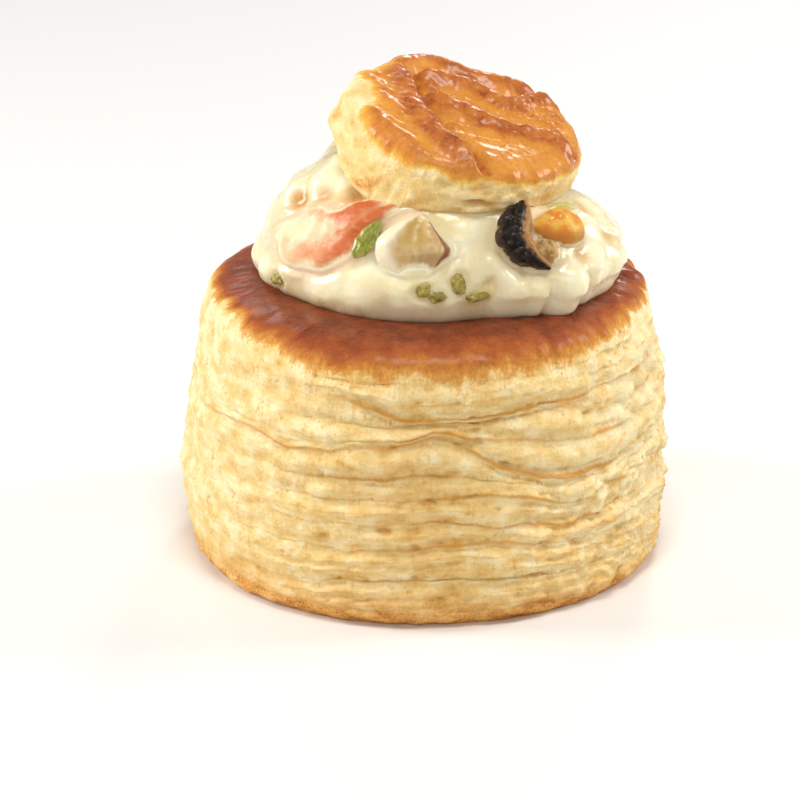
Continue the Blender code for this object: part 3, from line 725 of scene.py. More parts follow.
def rim_curve():
    """(radius, height) points over the shoulder, the domed top and down the well."""
    rounding = ((-0.1, -3.8), (-1.1, -1.7), (-3.2, -0.1))
    shoulder = [(SHOULDER_RADIUS + out, CASE_HEIGHT + up) for out, up in rounding]
    rim = [(35.2, CASE_HEIGHT + 0.8), (31.5, rim_height(31.5)), (27.5, rim_height(27.5))]
    well = [(WELL_RADIUS + out, CASE_HEIGHT + up) for out, up in ((1.1, 0.7), (0.1, -1.2), (0, -4))]
    return shoulder + rim + well


def wrinkles(angle, radius):
    """Wrinkles of the glaze, which run out from the middle: fine on the left, and coarse at the right."""
    left = beside(angle, 188, 24) + 0.5 * beside(angle, 105, 30)
    right = beside(angle, 14, 34) + 0.5 * beside(angle, 70, 20)
    front = beside(angle, 318, 17)
    fine = ring_noise(angle, radius, 30.0, 0.22, 81.0)
    coarse = abs(ring_noise(angle, radius, 13.0, 0.12, 83.0)) - 0.2
    dimples = 0.6 * ring_noise(angle, radius, 11.0, 0.3, 85.0)
    skin = 0.16 * ring_noise(angle, radius, 9.0, 0.22, 89.0)
    skin += 0.1 * ring_noise(angle, radius, 34.0, 0.8, 87.0)
    patchy = 0.5 + 0.9 * ring_noise(angle, radius, 5.0, 0.25, 95.0)
    return 0.42 * left * fine * patchy + right * (1.3 * coarse + 0.7 * fine) + front * dimples + skin


def ripples(angle, height):
    """The glaze's runs down over the shoulder, most at the front right."""
    where = beside(angle, 308, 26) + 0.5 * beside(angle, 20, 40) + 0.25
    return 0.9 * where * ring_noise(angle, height, 17.0, 0.06, 101.0) * bell(height - 48.5, 3.6)


def glaze_amount(angle, height, radius):
    """1 under the deep brown glaze, falling to 0 below its ragged edge."""
    edge, fade = round_the_ring(GLAZE_EDGE, math.degrees(angle))
    ragged = 1.0 * ring_noise(angle, 0, 7.0, 1.0, 91.0) + 0.9 * ring_noise(angle, height, 18.0, 0.3, 93.0)
    over = height - edge - ragged + 0.4 * max(0.0, SHOULDER_RADIUS - 3 - radius)
    return smoothstep(0.0, fade, over) ** 1.25


def leaf_ring(angle, lines, line, leaf, leaves, share):
    """(radius, height, edge, painted shade of the pores) at this share of one of the leaves between two layer
    lines.
    """
    (low, low_edge), (high, high_edge) = lines[line], lines[line + 1]
    band = high - low
    faint = 0.35 + 0.5 * ring_noise(angle, line * 7.0 + leaf * 2.3, 3.5, 1.0, 57.0)
    faint = max(0.0, faint) * (1 - 0.8 * calm(angle))
    under = low_edge if leaf == 0 else faint
    over = high_edge if leaf == leaves - 1 else faint
    height = low + band / leaves * (leaf + share)
    if leaf > 0 or share > 0:
        height += 0.25 * ring_noise(angle, height, 11.0, 0.4, 59.0) * smoothstep(1, 4, height)
    out, edge, pit = leaf_relief(angle, height, line * 5 + leaf, share, band / leaves, under, over)
    in_band = (height - low) / band
    out += 0.2 * band * (0.62 - (2 * in_band - 1) ** 2) * min(1.0, low_edge + high_edge)
    out += 0.8 * ring_noise(angle, line + smoothstep(0.3, 1, in_band), 2.2, 0.8, 63.0)
    on_side = smoothstep(0.3, 3, height) * (1 - smoothstep(45.5, 48, height))
    radius = side_radius(height) + bulge(angle, height) + ripples(angle, height) + on_side * out
    if height > 0:
        radius += 0.8 * ring_noise(angle, height, 14.0, 0.5, 97.0) * (1 - smoothstep(0.5, 5, height))
    return radius, height, edge, pit


def rim_ring(angle, start_height, share):
    """(radius, height) at this share of the way over the shoulder, the domed top and down the well."""
    start = (side_radius(start_height), start_height)
    radius, height = along_curve([start] + rim_curve(), share)
    outside = smoothstep(33, 40, radius)
    past_edge = smoothstep(0, 0.12, share)
    fold = wrinkles(angle, radius) * past_edge * smoothstep(25, 29, radius)
    rise = 0.5 * ring_noise(angle, 0, 2.5, 0.0, 8.0) * past_edge
    shift = bulge(angle, height) + fold * 0.5 + ripples(angle, height)
    return radius + outside * shift, height + outside * rise + fold


def toast_and_painted_light_at(angle, height):
    """How toasted the crumb is, most at the base, with painted shade on the front and painted light on the
    right and the left.
    """
    reach = 10.0 + 4.0 * ring_noise(angle, 0, 4.0, 1.0, 99.0) + 3.0 * beside(angle, 215, 30)
    toast = 1 - 0.5 * smoothstep(1.0, reach, height) - 0.5 * smoothstep(0.4, 0.4 * reach, height)
    # Painted light: the right and left sides are made paler. Painted shade: the front is made darker.
    toast -= 1.4 * beside(angle, 345, 40) * smoothstep(1.0, 14.0, height)
    toast -= 0.6 * beside(angle, 200, 34) * smoothstep(4.0, 18.0, height)
    return toast + 0.3 * beside(angle, 268, 32) * bell(height - 25, 15)


def make_case(finish):
    rows = case_rows()
    lines = [layer_heights(column) for column in range(CASE_COLUMNS)]

    def place_at(row, angle):
        kind, *what = rows[row]
        if kind == "flat":
            radius, height = what
            return at_angle(radius, angle, height), (0, 0, 0, 1)
        here = lines[round(angle / math.tau * CASE_COLUMNS) % CASE_COLUMNS]
        edge, pit, brown = 0.0, 0.0, 0.0
        if kind == "leaf":
            radius, height, edge, pit = leaf_ring(angle, here, *what)
        else:
            radius, height = rim_ring(angle, here[-1][0], *what)
        if height > UNGLAZED_BELOW:
            brown = glaze_amount(angle, height, radius)
        if kind == "rim":
            brown *= 0.88 + 0.12 * smoothstep(38.5, 32, radius)
        return at_angle(radius, angle, max(height, 0.0)), (edge, pit, brown, toast_and_painted_light_at(angle, height))

    bm = turned_rows(len(rows), CASE_COLUMNS, place_at, PASTRY_VALUES)
    return make_piece("pastry_case", bm, finish, "case", "case")


# --- the lid ------------------------------------------------------------------------------------------


def near_path(x, y, path):
    """Whether (x, y) is inside the box round the path, with room for the widest fold."""
    room = 8.0
    across, along = [point[0] for point in path], [point[1] for point in path]
    return min(across) - room < x < max(across) + room and min(along) - room < y < max(along) + room


def nearest_on_path(x, y, path):
    """How far (x, y) lies to the left of the path, less than 0 on its right."""
    here, nearest, signed = Vector((x, y)), 1e9, 1e9
    for start, end in zip(path, path[1:]):
        first, along = Vector(start), Vector(end) - Vector(start)
        share = min(1.0, max(0.0, (here - first).dot(along) / along.length_squared))
        apart = here - first - along * share
        if apart.length < nearest:
            nearest = apart.length
            signed = math.copysign(nearest, along.x * apart.y - along.y * apart.x)
    return signed


def fold_height(x, y):
    """The lid's wrinkled skin: folds that lean over the valleys beside them. Gives its height and crest."""
    height, valley = 0.0, 0.0
    for path, crest, gentle, steep, deep in FOLDS:
        if not near_path(x, y, path):
            continue
        away = nearest_on_path(x, y, path)
        if away < 0:
            height = max(height, crest * bell(away, gentle))
        else:
            height = max(height, crest * bell(away, steep))
            valley = max(valley, deep * bell(away - steep * 1.6, steep * 1.7))
    return height - valley, height


def lid_rows():
    """(radius, height) of the lid's rings, from the middle of its underside to the middle of its top."""
    under = [(0.0, 0.6), (7.0, 0.45), (14.0, 0.2), (17.0, 0.0), (19.0, 0.0), (20.4, 0.35)]
    side = []
    for row in range(LID_SIDE_ROWS):
        share = row / (LID_SIDE_ROWS - 1)
        turn = math.pi * (share - 0.5)
        reach = LID_RADIUS - 1.7 * (1 - math.cos(turn) ** 0.7)
        side.append((reach, 0.8 + 4.8 * (0.5 + 0.5 * math.sin(turn) + share)))
    shoulder = [(20.2, 10.8), (19.6, 11.1), (18.9, 11.35), (18.2, 11.5)]
    top = [(17.7 * (1 - row / (LID_TOP_ROWS - 1)), LID_THICKNESS) for row in range(LID_TOP_ROWS)]
    return under + side + shoulder + top


def lid_side(angle, height, glazed):
    """How far the lid's side stands out, and the painted shade in its pits and its crack. The glazed skin is
    drawn into gathers over the edge, and below it the pale side is a soft, torn crumb."""
    gathers = swells_round(GATHERS, angle) + 0.25 * ring_noise(angle, height, 16.0, 0.12, 49.0)
    around = at_angle(LID_RADIUS, angle, height * 1.2)
    lace = noise.noise(around * 0.34 + Vector((4, 8, 1)))
    crumb = 0.35 * noise.noise(around * 0.22) + 0.16 * (bell(noise.noise(around * 0.7), 0.14) - 0.5)
    torn = 0.3 + 0.7 * beside(angle, 285, 50)
    at, spread, level, tall = LID_CRACK
    level += 0.5 * ring_noise(angle, 0, 8.0, 1.0, 46.0)
    crack = beside(angle, at, spread) * bell(height - level, tall)
    crumb += torn * 0.35 * bell(lace, 0.16) - 1.2 * crack
    # Painted shade in the torn crack and in the crumb's pockets.
    pit = max(1.1 * crack, 0.6 * torn * smoothstep(0.2, 0.45, abs(lace)))
    out = gathers * bell(height - 9.5, 3.2) * (0.3 + 0.7 * glazed) + crumb * (1 - glazed)
    return out, pit * (1 - glazed)


def lid_skin(x, y):
    """The fine relief of the lid's glazed top: ripples, a stippled patch on the right, and streaks."""
    skin = 0.2 * wobble(x * 0.4, y * 0.4, 0) + 0.12 * wobble(x * 1.1, y * 1.1, 5.5)
    stipple = bell(math.hypot(x - 13, y - 5), 8)
    skin += stipple * (0.3 * wobble(x * 0.7, y * 1.1, 9) + 0.16 * wobble(x * 1.8, y * 1.8, 5.4))
    streaks = wobble((x * 0.8 - y * 0.6) * 0.22, (x * 0.6 + y * 0.8) * 0.9, 7)
    return skin + (0.2 + 0.35 * bell(math.hypot(x + 13, y + 5), 9)) * streaks


def lid_point(radius, height, angle):
    """Where the lid's skin is, in its own plane, and its (edge, painted shade of pits, brown, toasting)."""
    up = height / LID_THICKNESS
    over_edge = height + max(0.0, LID_RADIUS - 3.5 - radius)
    rim = smoothstep(14, 20, radius)
    uneven = 0.8 * ring_noise(angle, height, 1.6, 0.05, 31.0)
    uneven += 0.35 * ring_noise(angle, height, 4.0, 0.6, 37.0)
    radius += rim * (uneven + swells_at(LID_BUMPS, angle, height))
    glaze_edge = round_the_ring(LID_GLAZE_EDGE, math.degrees(angle))[0]
    glaze_edge += 0.9 * ring_noise(angle, height, 6.0, 0.2, 41.0)
    glaze_edge += 0.5 * ring_noise(angle, height, 20.0, 0.3, 43.0)
    glazed = smoothstep(-0.9, 2.0, over_edge - glaze_edge)
    out, pit = lid_side(angle, height, glazed)
    radius += rim * smoothstep(0.6, 2.0, height) * out
    place = at_angle(radius, angle, 0)
    puff = 1 + 0.13 * (-0.6 * place.x + 0.7 * place.y) / LID_RADIUS
    on_top = smoothstep(0.72, 0.98, up)
    fold, crest = fold_height(place.x, place.y) if on_top > 0 else (0.0, 0.0)
    place.z = height * puff + on_top * (fold - 0.35 + lid_skin(place.x, place.y))
    sag_at, sag_spread, sag = LID_SAG
    hanging = smoothstep(11, 20, radius) * (1 - smoothstep(0, 0.75, up))
    place.z -= sag * beside(angle, sag_at, sag_spread) * hanging
    toast = 0.8 * smoothstep(0.28, 0.5, ring_noise(angle, height, 3.5, 0.35, 55.0)) * bell(height - 3.0, 4)
    burnt = smoothstep(0.2, 1.1, crest) * on_top + 0.5 * (1 - on_top)
    # Painted shade: the glaze is made browner in the deep valleys beside the folds.
    brown = glazed * (0.65 + 0.29 * burnt + 0.3 * smoothstep(-0.5, -1.3, fold) * on_top)
    return place, (0.0, pit, min(brown, 1.0), toast * (1 - glazed))


def make_lid():
    rows = lid_rows()
    lean = Euler([math.radians(degrees) for degrees in (*LID_LEAN, 0)]).to_matrix()

    def place_at(row, angle):
        place, values = lid_point(*rows[row], angle)
        return lean @ place + Vector(LID_PLACE), values

    return turned_rows(len(rows), LID_COLUMNS, place_at, PASTRY_VALUES)


# --- the heap -----------------------------------------------------------------------------------------


def foot_radius(angle):
    """How far the heap's foot reaches over the rim."""
    return FOOT_RADIUS + swells_round(SPREADS, angle)


def heap_fullness(angle):
    """The exponent of the heap's outline: 2 is an ellipse, and more is squarer."""
    return 2.4 - 0.75 * beside(angle, 175, 60) + 1.6 * beside(angle, 325, 42)


def heap_point(angle, climb):
    """A point of the heap's skin: climb is 0 at its foot and 1 on top."""
    lift = climb * math.pi / 2
    power = 2 / heap_fullness(angle)
    place = at_angle(foot_radius(angle) * max(0.0, math.cos(lift)) ** power, angle, HEAP_FLOOR)
    above = (HEAP_HEIGHT - HEAP_SLOPE * place.x) * math.sin(lift) ** power
    place.z += above
    lump = HEAP_LUMP * noise.noise(place * 0.13 + Vector((5, 1, 2))) * smoothstep(0, 0.15, climb)
    return place + (place - HEAP_HEART).normalized() * (lump * 1.6 + swells_at(SWELLS, angle, above))


def heap_normal(angle, climb):
    step = 0.01
    around = heap_point(angle + step, climb) - heap_point(angle - step, climb)
    upward = heap_point(angle, climb + step) - heap_point(angle, climb - step)
    return around.cross(upward).normalized()


def on_heap(at):
    """The heap's skin at (angle in degrees, climb)."""
    return heap_point(math.radians(at[0]), at[1])


def distance_to_line(place, start, end):
    along = end - start
    share = min(1.0, max(0.0, (place - start).dot(along) / along.length_squared))
    return (place - start - along * share).length


def lump_field():
    """A function that gives how far lobes, folds and hollows push the skin out at a place, and the painted
    ochre shade there.
    """
    lobes = [(on_heap(at[:2]), *at[2:]) for at in LOBES]
    hollows = [(on_heap(at[:2]), *at[2:]) for at in HOLLOWS]
    ridges = [(on_heap(start), on_heap(end), push, width) for start, end, push, width in RIDGES]
    disc_middle, disc_radius, disc_height = on_heap(DISC[:2]), *DISC[2:]

    def push_at(place):
        total = 0.0
        for middle, push, size in lobes:
            away = (place - middle).length / size
            if away < 1.5:
                total += (push * (1 - smoothstep(0.1, 1.5, away))) ** LOBE_JOIN
        total = total ** (1 / LOBE_JOIN)
        for start, end, push, width in ridges:
            away = distance_to_line(place, start, end)
            if away < 2.2 * width:
                total += push * bell(away, width)
        ochre = 0.0
        for middle, depth, size, shade_amount in hollows:
            away = (place - middle).length
            if away < 2.2 * size:
                total -= depth * bell(away, size)
                ochre = max(ochre, shade_amount * bell(away, size * 0.9))
        away = (place - disc_middle).length
        disc = disc_height * (1 - smoothstep(disc_radius * 0.7, disc_radius * 1.25, away))
        return total + disc + 0.15 * bell(away - disc_radius * 0.92, 0.5), ochre

    return push_at


def stain_and_shadow(place, piece):
    """How much of a piece's colour its sauce takes on here: near the salmon and the leek it is stained, and
    near the mussel it is a painted shadow.
    """
    near, _, _, away = piece.find_nearest(place, 5.0)
    return 0.0 if near is None else bell(away, 1.7)


def film_over(place, out, toppings):
    """How far out the sauce goes at a place of the heap's skin that a topping may cover, and how free of
    toppings it is: it climbs their edges as a thin film, and is sunk where they stand well clear."""
    near, normal, _, away = toppings.find_nearest(place, TOPPING_REACH)
    if near is None:
        return 0.0, 1.0
    if (place - near).dot(normal) >= 0:
        return FILM * bell(away, 1.2), smoothstep(0.0, 1.6, away)
    _, _, _, through = toppings.ray_cast(place, out, TOPPING_REACH)
    thick = min(through or 0.0, 2.4)
    return thick + FILM - (FILM + 1.1) * smoothstep(0.5, 1.7, thick), 0.0


def sauce_rows():
    """What each ring of the sauce is: part of the plug in the well, of the underside or of the heap."""
    top = CASE_HEIGHT
    plug = (
        (0.0, WELL_FLOOR + GAP), (WELL_RADIUS - 2.4, WELL_FLOOR + GAP),
        (WELL_RADIUS - GAP, WELL_FLOOR + 2 + GAP), (WELL_RADIUS - GAP, top - 4),
        (WELL_RADIUS - 0.2, top - 1.0), (SAUCE_LIP, top + 0.7 + GAP),
    )
    rows = [("plug", *point) for point in plug] + [("rest", share) for share in (0.3, 0.6, 0.85, 1.0)]
    return rows + [("heap", (row / SAUCE_ROWS) ** 1.8) for row in range(SAUCE_ROWS + 1)]


def foot_outline(angle, climb):
    """How far the heap's foot spills past its outline, or draws in between two lobes."""
    spill = 0.5 * ring_noise(angle, 0, 5.0, 1.0, 105.0) + 0.2 * ring_noise(angle, 0, 13.0, 1.0, 107.0)
    notch = swells_round(NOTCHES, angle)
    return spill * (1 - smoothstep(0.0, 0.03, climb)) - notch * (1 - smoothstep(0.0, 0.1, climb))


def make_sauce(toppings, lid, stain_and_shadow_pieces):
    """The plug in the well, the underside on the rim and the heap: one closed skin that laps its toppings."""
    rows = sauce_rows()
    push_at = lump_field()

    def heap_skin(angle, climb):
        """A place of the finished skin, how far it lies in a crease for the painted shade there, and the
        painted ochre shade of its hollows.
        """
        place = heap_point(angle, climb)
        above = max(0.0, place.z - HEAP_FLOOR)
        out = (place - HEAP_HEART).normalized()
        own, ochre = push_at(place)
        soft = 0.45 * noise.noise(place * 0.17 + Vector((9, 4, 2))) + 0.06 * noise.noise(place * 0.6)
        over_foot = smoothstep(0.0, 0.03, climb)
        film, free = film_over(place, out, toppings)
        place += out * ((own * (0.35 + 0.65 * over_foot) + soft * over_foot) * free + film)
        tucked = FOOT_TUCK * max(0.0, 1 - above / FOOT_LIP) ** 2
        place += at_angle(foot_outline(angle, climb) - tucked, angle, 0)
        resting = rim_height(math.hypot(place.x, place.y)) - FOOT_SINK
        place.z -= (HEAP_FLOOR - resting) * (1 - smoothstep(0, FOOT_LIP, above))
        near, normal, _, away = lid.find_nearest(place, TOPPING_REACH)
        if near is not None and (place - near).dot(normal) < 0:
            place -= out * 0.8 * smoothstep(0.0, 2.0, away)
        # The crease value carries painted shade.
        return place, 1 - smoothstep(-0.5, 0.6, own + soft), ochre

    def place_at(row, angle):
        kind, *what = rows[row]
        if kind == "heap":
            place, hollow, ochre = heap_skin(angle, *what)
            return place, (hollow, ochre, *(stain_and_shadow(place, piece) for piece in stain_and_shadow_pieces))
        if kind == "rest":
            radius = SAUCE_LIP + (foot_radius(angle) - 3.0 - SAUCE_LIP) * what[0]
            what = radius, rim_height(radius) - 0.1
        return at_angle(what[0], angle, what[1]), (0, 0, 0, 0, 0)

    names = ("hollow", "ochre", "salmon_stain", "mussel_stain", "leek_stain")
    return turned_rows(len(rows), SAUCE_COLUMNS, place_at, names)


# --- the pieces in the sauce --------------------------------------------------------------------------


def route_frames(route):
    """A function that gives the place, way along and outward normal of the heap's skin along a route."""
    known = {}

    def at_share(share):
        key = round(share, 5)
        if key not in known:
            places = [heap_point(*route_at(route, at)) for at in (share - 0.04, share, share + 0.04)]
            along = (places[2] - places[0]).normalized()
            known[key] = places[1], along, heap_normal(*route_at(route, share))
        return known[key]

    return at_share


def route_at(route, share):
    """(angle in radians, climb) at this share of a route."""
    angle, climb = along_curve([Vector(point) for point in route], share)
    return math.radians(angle), climb


def laid_piece(form, rings, sides, names, detail):
    """A rounded strip that follows the heap's skin: a sphere drawn out along the route.

    detail(share, across, top) gives a push outwards, a push sideways and the piece's values: across runs
    from -1 to 1 over its width, and top is 1 on its outward face.
    """
    bm = bmesh.new()
    turned_over = Matrix.Rotation(math.pi / 2, 4, "Y")
    bmesh.ops.create_uvsphere(bm, u_segments=sides, v_segments=rings, radius=1, matrix=turned_over)
    frames = route_frames(form["route"])
    layers = [bm.verts.layers.float.new(name) for name in ("coat", *names)]
    for vert in bm.verts:
        tilt = math.asin(min(1.0, max(-1.0, vert.co.x)))
        share = 0.5 + tilt / math.pi
        fullness = max(0.0, math.cos(tilt)) ** 0.6
        turn = math.atan2(vert.co.z, vert.co.y)
        across, top = math.cos(turn), math.sin(turn)
        middle, along, normal = frames(share)
        side = normal.cross(along).normalized()
        push, shift, values = detail(share, across, top)
        out = form["lift"] + form["half_thickness"] * fullness * top + push * fullness
        width = between(form["half_widths"], share) * fullness
        vert.co = middle + side * (width * across + shift * fullness) + normal * out
        for layer, value in zip(layers[1:], values):
            vert[layer] = value
    return face_outward(bm)


def salmon_detail(share, across, top):
    """Long flakes with soft grooves between them, and a ragged edge."""
    flakes = wobble(share * 9, across * 2.2, 1.0)
    fibre = wobble(share * 24, across * 7.0, 3.0)
    groove = bell(across - 0.25 * math.sin(share * 9) - 0.1, 0.12)
    push = (0.45 * flakes + 0.12 * fibre - 0.12 * groove) * max(0.0, top)
    return push, 0.4 * wobble(share * 7, top, 6.0), (share, across, groove * max(0.0, top))


def leek_detail(share, across, top):
    """A thin strip of leaf with its veins along it."""
    wave = 0.35 * math.sin(share * 7 + across) + 0.08 * math.cos(across * 26)
    return wave, 0.25 * wobble(share * 8, 2, 5), (share, across)


def mushroom_detail(share, across, top):
    """A slice: its left rim stands up, its face is hollow, and its skin is a thin edge on the right."""
    face = max(0.0, top)
    rim = 1.0 * bell(across + 0.72, 0.2)
    hollow = -1.3 * bell(across + 0.1, 0.36) * bell(share - 0.4, 0.3)
    gills = 0.14 * math.sin(across * 30) * smoothstep(0.45, 0.8, share) * bell(across - 0.15, 0.5)
    skin = 0.6 * bell(across - 0.67, 0.07) - 0.7 * smoothstep(0.72, 0.85, across)
    rough = 0.25 * wobble(share * 7, across * 3, 8)
    sunk = -1.6 * smoothstep(0.68, 1.0, share - 0.16 * smoothstep(0.2, 0.6, across))
    push = (rim + hollow + gills + skin + rough) * face + sunk
    return push, 0.3 * wobble(share * 5, 3, 1), (share, across)


def mantle_detail(share, across, top):
    """The mussel's frilled mantle: ruffles across it, deepest on its outer edge."""
    outer = smoothstep(0.5, -0.6, across)
    ruffle = 1.2 * abs(wobble(share * 9, across * 2.6, 2)) + 0.5 * wobble(share * 21, across * 5, 4)
    lip = 0.5 * bell(across - 0.8, 0.14) - 0.5 * bell(across - 0.5, 0.14)
    wander = 4 * wobble(share * 5, across * 2, 9)
    frills = 0.22 * math.sin(share * 62 + wander) * outer
    push = 0.7 * (ruffle - 0.35) * (0.35 + 0.65 * outer) + lip * max(0.0, top) + frills
    ragged = 0.5 * wobble(share * 8, across, 7)
    return push, 0.4 * (ruffle - 0.3) * -outer + ragged, (across, ruffle, 0.0)


def lobe_detail(kind):
    def detail(share, across, top):
        soft = 0.3 * wobble(share * 4, across * 2, kind * 5)
        return soft + 0.1 * wobble(share * 14, across * 6, kind), 0.0, (across, 0.0, kind)

    return detail


def slice_detail(share, across, top):
    wave = 0.25 * wobble(share * 5, across * 2, 4) + 0.1 * math.cos(across * 12)
    return wave, 0.0, (share, across)


def green_bit(at, climb, half_length, half_width, seed):
    """A small uneven scrap of leek, part sunk in the sauce."""
    angle = math.radians(at)
    centre, normal = heap_point(angle, climb), heap_normal(angle, climb)
    along = (heap_point(angle + 0.02, climb) - centre).normalized()
    up = normal.cross(along)
    bm = bmesh.new()
    bmesh.ops.create_icosphere(bm, subdivisions=5, radius=1)
    coat = bm.verts.layers.float.new("coat")
    for vert in bm.verts:
        rough = 1 + 0.3 * noise.noise(vert.co * 1.3 + Vector((seed, 0, 0))) + 0.12 * noise.noise(vert.co * 4)
        x, y, z = vert.co * rough
        vert.co = centre + along * (x * half_length) + up * (y * half_width) + normal * (z * 0.7 + 0.4)
        vert[coat] = 0.0
    return face_outward(bm)


def joined(parts):
    """One bmesh of several, with the first one's attributes."""
    whole = bmesh.new()
    for part in parts:
        mesh = bpy.data.meshes.new("part")
        part.to_mesh(mesh)
        whole.from_mesh(mesh)
        bpy.data.meshes.remove(mesh)
    whole.normal_update()
    return whole


def coat_with(bm, sauce):
    """Notes how deep each point of a piece is sunk: 1 at the sauce's skin, 0 a little above it."""
    coat = bm.verts.layers.float["coat"]
    for vert in bm.verts:
        near, normal, _, away = sauce.find_nearest(vert.co, 6.0)
        if near is None:
            continue
        height = math.copysign(away, (vert.co - near).dot(normal))
        vert[coat] = 1 - smoothstep(-0.3, 1.0, height)


# --- their finishes -----------------------------------------------------------------------------------


def salmon_colour(finish):
    """Orange at its right end, pink in its middle and pale at its left, smeared with cream."""
    share, across, groove = (finish.attribute(key) for key in ("share", "across", "groove"))
    fibre = finish.grain(0.7, 3, stretch=(3, 3, 1))
    colour = finish.ramp(share + (finish.grain(2.5) - 0.5) * 0.16, (
        (0.0, (246, 194, 120)), (0.12, (248, 212, 162)), (0.28, (240, 192, 148)),
        (0.44, (216, 130, 80)), (0.64, (200, 100, 46)), (1.0, (206, 122, 46)),
    ))
    colour = finish.mix(fibre.climb(0.45, 0.7) * 0.3, colour, (236, 178, 130))
    colour = finish.mix(groove * 0.2, colour, (246, 206, 160))
    off_along, off_across = (share - 0.33) * 3.8, (across - 0.25) * 1.9
    smear = off_along * off_along + off_across * off_across + (finish.grain(1.9, 4) - 0.5) * 1.7
    return finish.mix((1 - smear.climb(0.0, 1.4)) * 0.8, colour, (248, 226, 186))


def leek_colour(finish):
    across = finish.attribute("across")
    veins = finish.grain(0.6, 3, stretch=(1, 1, 4)).climb(0.35, 0.65)
    colour = finish.mix(veins, (116, 122, 34), (152, 150, 56))
    return finish.mix(across.climb(0.6, 1.0) * 0.5, colour, (196, 190, 104))


def pale_leek_colour(finish):
    across = finish.attribute("across")
    colour = finish.mix(finish.grain(1.5).climb(0.35, 0.65), (196, 176, 84), (214, 204, 130))
    return finish.mix(across.climb(0.2, 0.9) * 0.6, colour, (150, 146, 50))


def bits_colour(finish):
    return finish.mix(finish.grain(1.0, 3).climb(0.3, 0.7), (128, 116, 38), (186, 168, 84))


def mushroom_colour(finish):
    share, across = finish.attribute("share"), finish.attribute("across")
    cloud = finish.grain(1.4, 3, stretch=(1, 1, 2)).climb(0.35, 0.65)
    face = finish.mix(cloud, (224, 196, 142), (202, 168, 110))
    # Painted shade: an ochre tone in the hollow of the slice's face.
    hollow = (across + 0.1).climb(-0.6, -0.2) - (across + 0.1).climb(0.1, 0.55)
    hollow = hollow * (1 - share.climb(0.45, 0.7))
    face = finish.mix(hollow * 0.7, face, (204, 166, 78))
    face = finish.mix(share.climb(0.5, 0.85) * across.climb(-0.4, 0.2) * 0.75, face, (160, 126, 74))
    face = finish.mix((1 - across.climb(-0.75, -0.4)) * 0.7, face, (250, 243, 218))
    skin = finish.mix(across.climb(0.73, 0.83), (136, 84, 50), (232, 212, 168))
    return finish.mix((across + (finish.grain(1.5) - 0.5) * 0.1).climb(0.59, 0.66), face, skin)


def mussel_colour(finish):
    across, ruffle, lobe = (finish.attribute(key) for key in ("across", "ruffle", "lobe"))
    dark = finish.mix(ruffle.climb(0.0, 0.8), (20, 14, 9), (54, 38, 28))
    dark = finish.mix((0 - across).climb(0.55, 1.0) * 0.6, dark, (92, 68, 48))
    # Painted sheen: a purple-grey strip along the mantle's inner side.
    dark = finish.mix(across.climb(0.1, 0.45) * 0.5, dark, (70, 50, 42))
    frayed = across + (finish.grain(1.0, 3) - 0.5) * 0.5
    dark = finish.mix(frayed.climb(0.4, 0.62), dark, (176, 130, 80))
    orange = finish.mix(finish.grain(2.4).climb(0.35, 0.65), (218, 132, 50), (226, 176, 76))
    orange = finish.mix((0 - across).climb(0.2, 0.9) * 0.6, orange, (160, 104, 46))
    tan = finish.mix(finish.grain(1.2).climb(0.35, 0.65), (144, 106, 60), (190, 156, 98))
    meat = finish.mix(lobe.climb(1.2, 1.8), orange, tan)
    return finish.mix(lobe.climb(0.3, 0.7), dark, meat)


# --- the studio ---------------------------------------------------------------------------------------


def aimed(obj, place, target):
    obj.location = place
    obj.rotation_euler = (Vector(target) - Vector(place)).to_track_quat("-Z", "Y").to_euler()
    bpy.context.scene.collection.objects.link(obj)


def make_camera():
    tilt = math.radians(CAMERA_TILT)
    aim = Vector(CAMERA_AIM) * MM
    place = aim + Vector((0, -math.cos(tilt), math.sin(tilt))) * CAMERA_DISTANCE * MM
    camera = bpy.data.objects.new("camera", bpy.data.cameras.new("camera"))
    camera.data.sensor_width = SENSOR
    camera.data.lens = SENSOR * FIELD_PIXELS / PICTURE_PIXELS
    camera.data.clip_end = 20
    aimed(camera, place, aim)
    bpy.context.scene.camera = camera


def make_lights():
    for name, place, size, power, colour in LIGHTS:
        light = bpy.data.lights.new(name, "AREA")
        light.shape = "RECTANGLE"
        light.size, light.size_y = size
        light.energy = power
        light.color = colour
        aimed(bpy.data.objects.new(name, light), place, LIGHTS_AIM)
    world = bpy.data.worlds.new("studio")
    world.use_nodes = True
    background = world.node_tree.nodes["Background"]
    background.inputs["Color"].default_value = (1, 1, 1, 1)
    background.inputs["Strength"].default_value = WORLD_LIGHT
    bpy.context.scene.world = world
    bpy.context.scene.view_settings.view_transform = "Standard"


def make_floor():
    bm = bmesh.new()
    bmesh.ops.create_grid(bm, x_segments=4, y_segments=4, size=FLOOR_HALF)
    mesh = bpy.data.meshes.new("floor")
    bm.to_mesh(mesh)
    bm.free()
    finish = Finish("studio_floor", {"Base Color": (0.86, 0.86, 0.86, 1), "Roughness": 0.6})
    mesh.materials.append(finish.material)
    floor = bpy.data.objects.new("floor", mesh)
    bpy.context.scene.collection.objects.link(floor)


# --- start --------------------------------------------------------------------------------------------


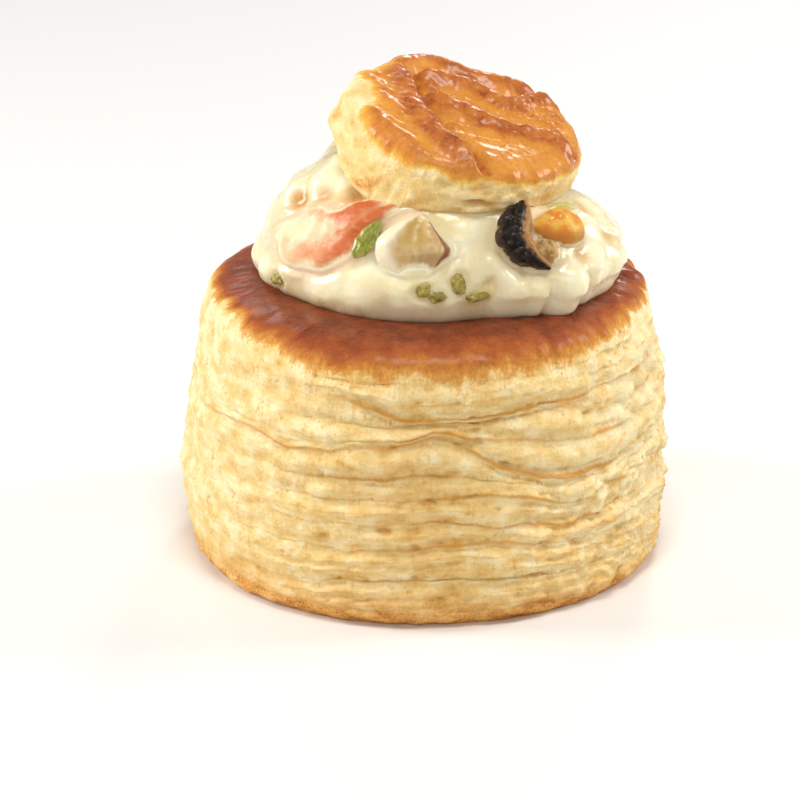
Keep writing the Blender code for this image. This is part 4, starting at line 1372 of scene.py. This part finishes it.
def make_toppings():
    """Everything that lies on the heap: name to (bmesh, slot, the node that it stands for)."""
    plain, of_mussel = ("share", "across"), ("across", "ruffle", "lobe")
    mussel = joined([
        laid_piece(MUSSEL_MANTLE, 110, 64, of_mussel, mantle_detail),
        laid_piece(ORANGE_LOBE, 48, 48, of_mussel, lobe_detail(1.0)),
        laid_piece(TAN_LOBE, 48, 48, of_mussel, lobe_detail(2.0)),
    ])
    salmon = laid_piece(SALMON, 96, 56, (*plain, "groove"), salmon_detail)
    green_strip = laid_piece(LEEK_STRIP, 48, 32, plain, leek_detail)
    mushroom = laid_piece(MUSHROOM, 80, 72, plain, mushroom_detail)
    pale_slice = laid_piece(LEEK_SLICE, 48, 32, plain, slice_detail)
    bits = joined([green_bit(*bit, seed * 7.0) for seed, bit in enumerate(GREEN_BITS)])
    return {
        "salmon_piece": (salmon, "salmon", "salmon"),
        "leek_green_strip": (green_strip, "leek", "leek_strip"),
        "mushroom_slice": (mushroom, "mushroom", "mushroom"),
        "leek_pale_slice": (pale_slice, "leek", "leek_slice"),
        "mussel_meat": (mussel, "mussel", "mussel"),
        "leek_bits": (bits, "leek", "sauce"),
    }


def topping_finishes():
    """The finish of each topping, by the topping's name."""
    mussel = dict(rough=0.46, gloss=0.16, glow=0.1, specular=0.15)
    return {
        "salmon_piece": wet_finish("salmon_flesh", salmon_colour, rough=0.4, gloss=0.15, glow=0.45),
        "leek_green_strip": wet_finish("leek_green", leek_colour, glow=0.2),
        "mushroom_slice": wet_finish("mushroom_flesh", mushroom_colour, rough=0.3, gloss=0.35, glow=0.35),
        "leek_pale_slice": wet_finish("leek_pale", pale_leek_colour),
        "mussel_meat": wet_finish("mussel_flesh", mussel_colour, **mussel),
        "leek_bits": wet_finish("leek_scraps", bits_colour, rough=0.3, gloss=0.4, glow=0.4),
    }


def make_food():
    toppings, finishes = make_toppings(), topping_finishes()
    make_case(pastry_finish("flaky_pastry", CASE_GLAZE, layered=1.0, gloss=0.42))
    lid_finish = pastry_finish("glazed_lid", LID_GLAZE, layered=0.35, gloss=0.6)
    lid = make_lid()
    together = joined([bm for bm, _, _ in toppings.values()])
    stain_and_shadow_pieces = [BVHTree.FromBMesh(toppings[name][0]) for name in ("salmon_piece", "mussel_meat", "leek_bits")]
    sauce = make_sauce(BVHTree.FromBMesh(together), BVHTree.FromBMesh(lid), stain_and_shadow_pieces)
    together.free()
    skin = BVHTree.FromBMesh(sauce)
    for name, (bm, slot, node) in toppings.items():
        if name != "leek_bits":
            coat_with(bm, skin)
        make_piece(name, bm, finishes[name], slot, node)
    make_piece("pastry_lid", lid, lid_finish, "lid", "lid")
    make_piece("cream_sauce", sauce, cream_finish(), "sauce", "sauce")


make_camera()
make_lights()
make_floor()
make_food()
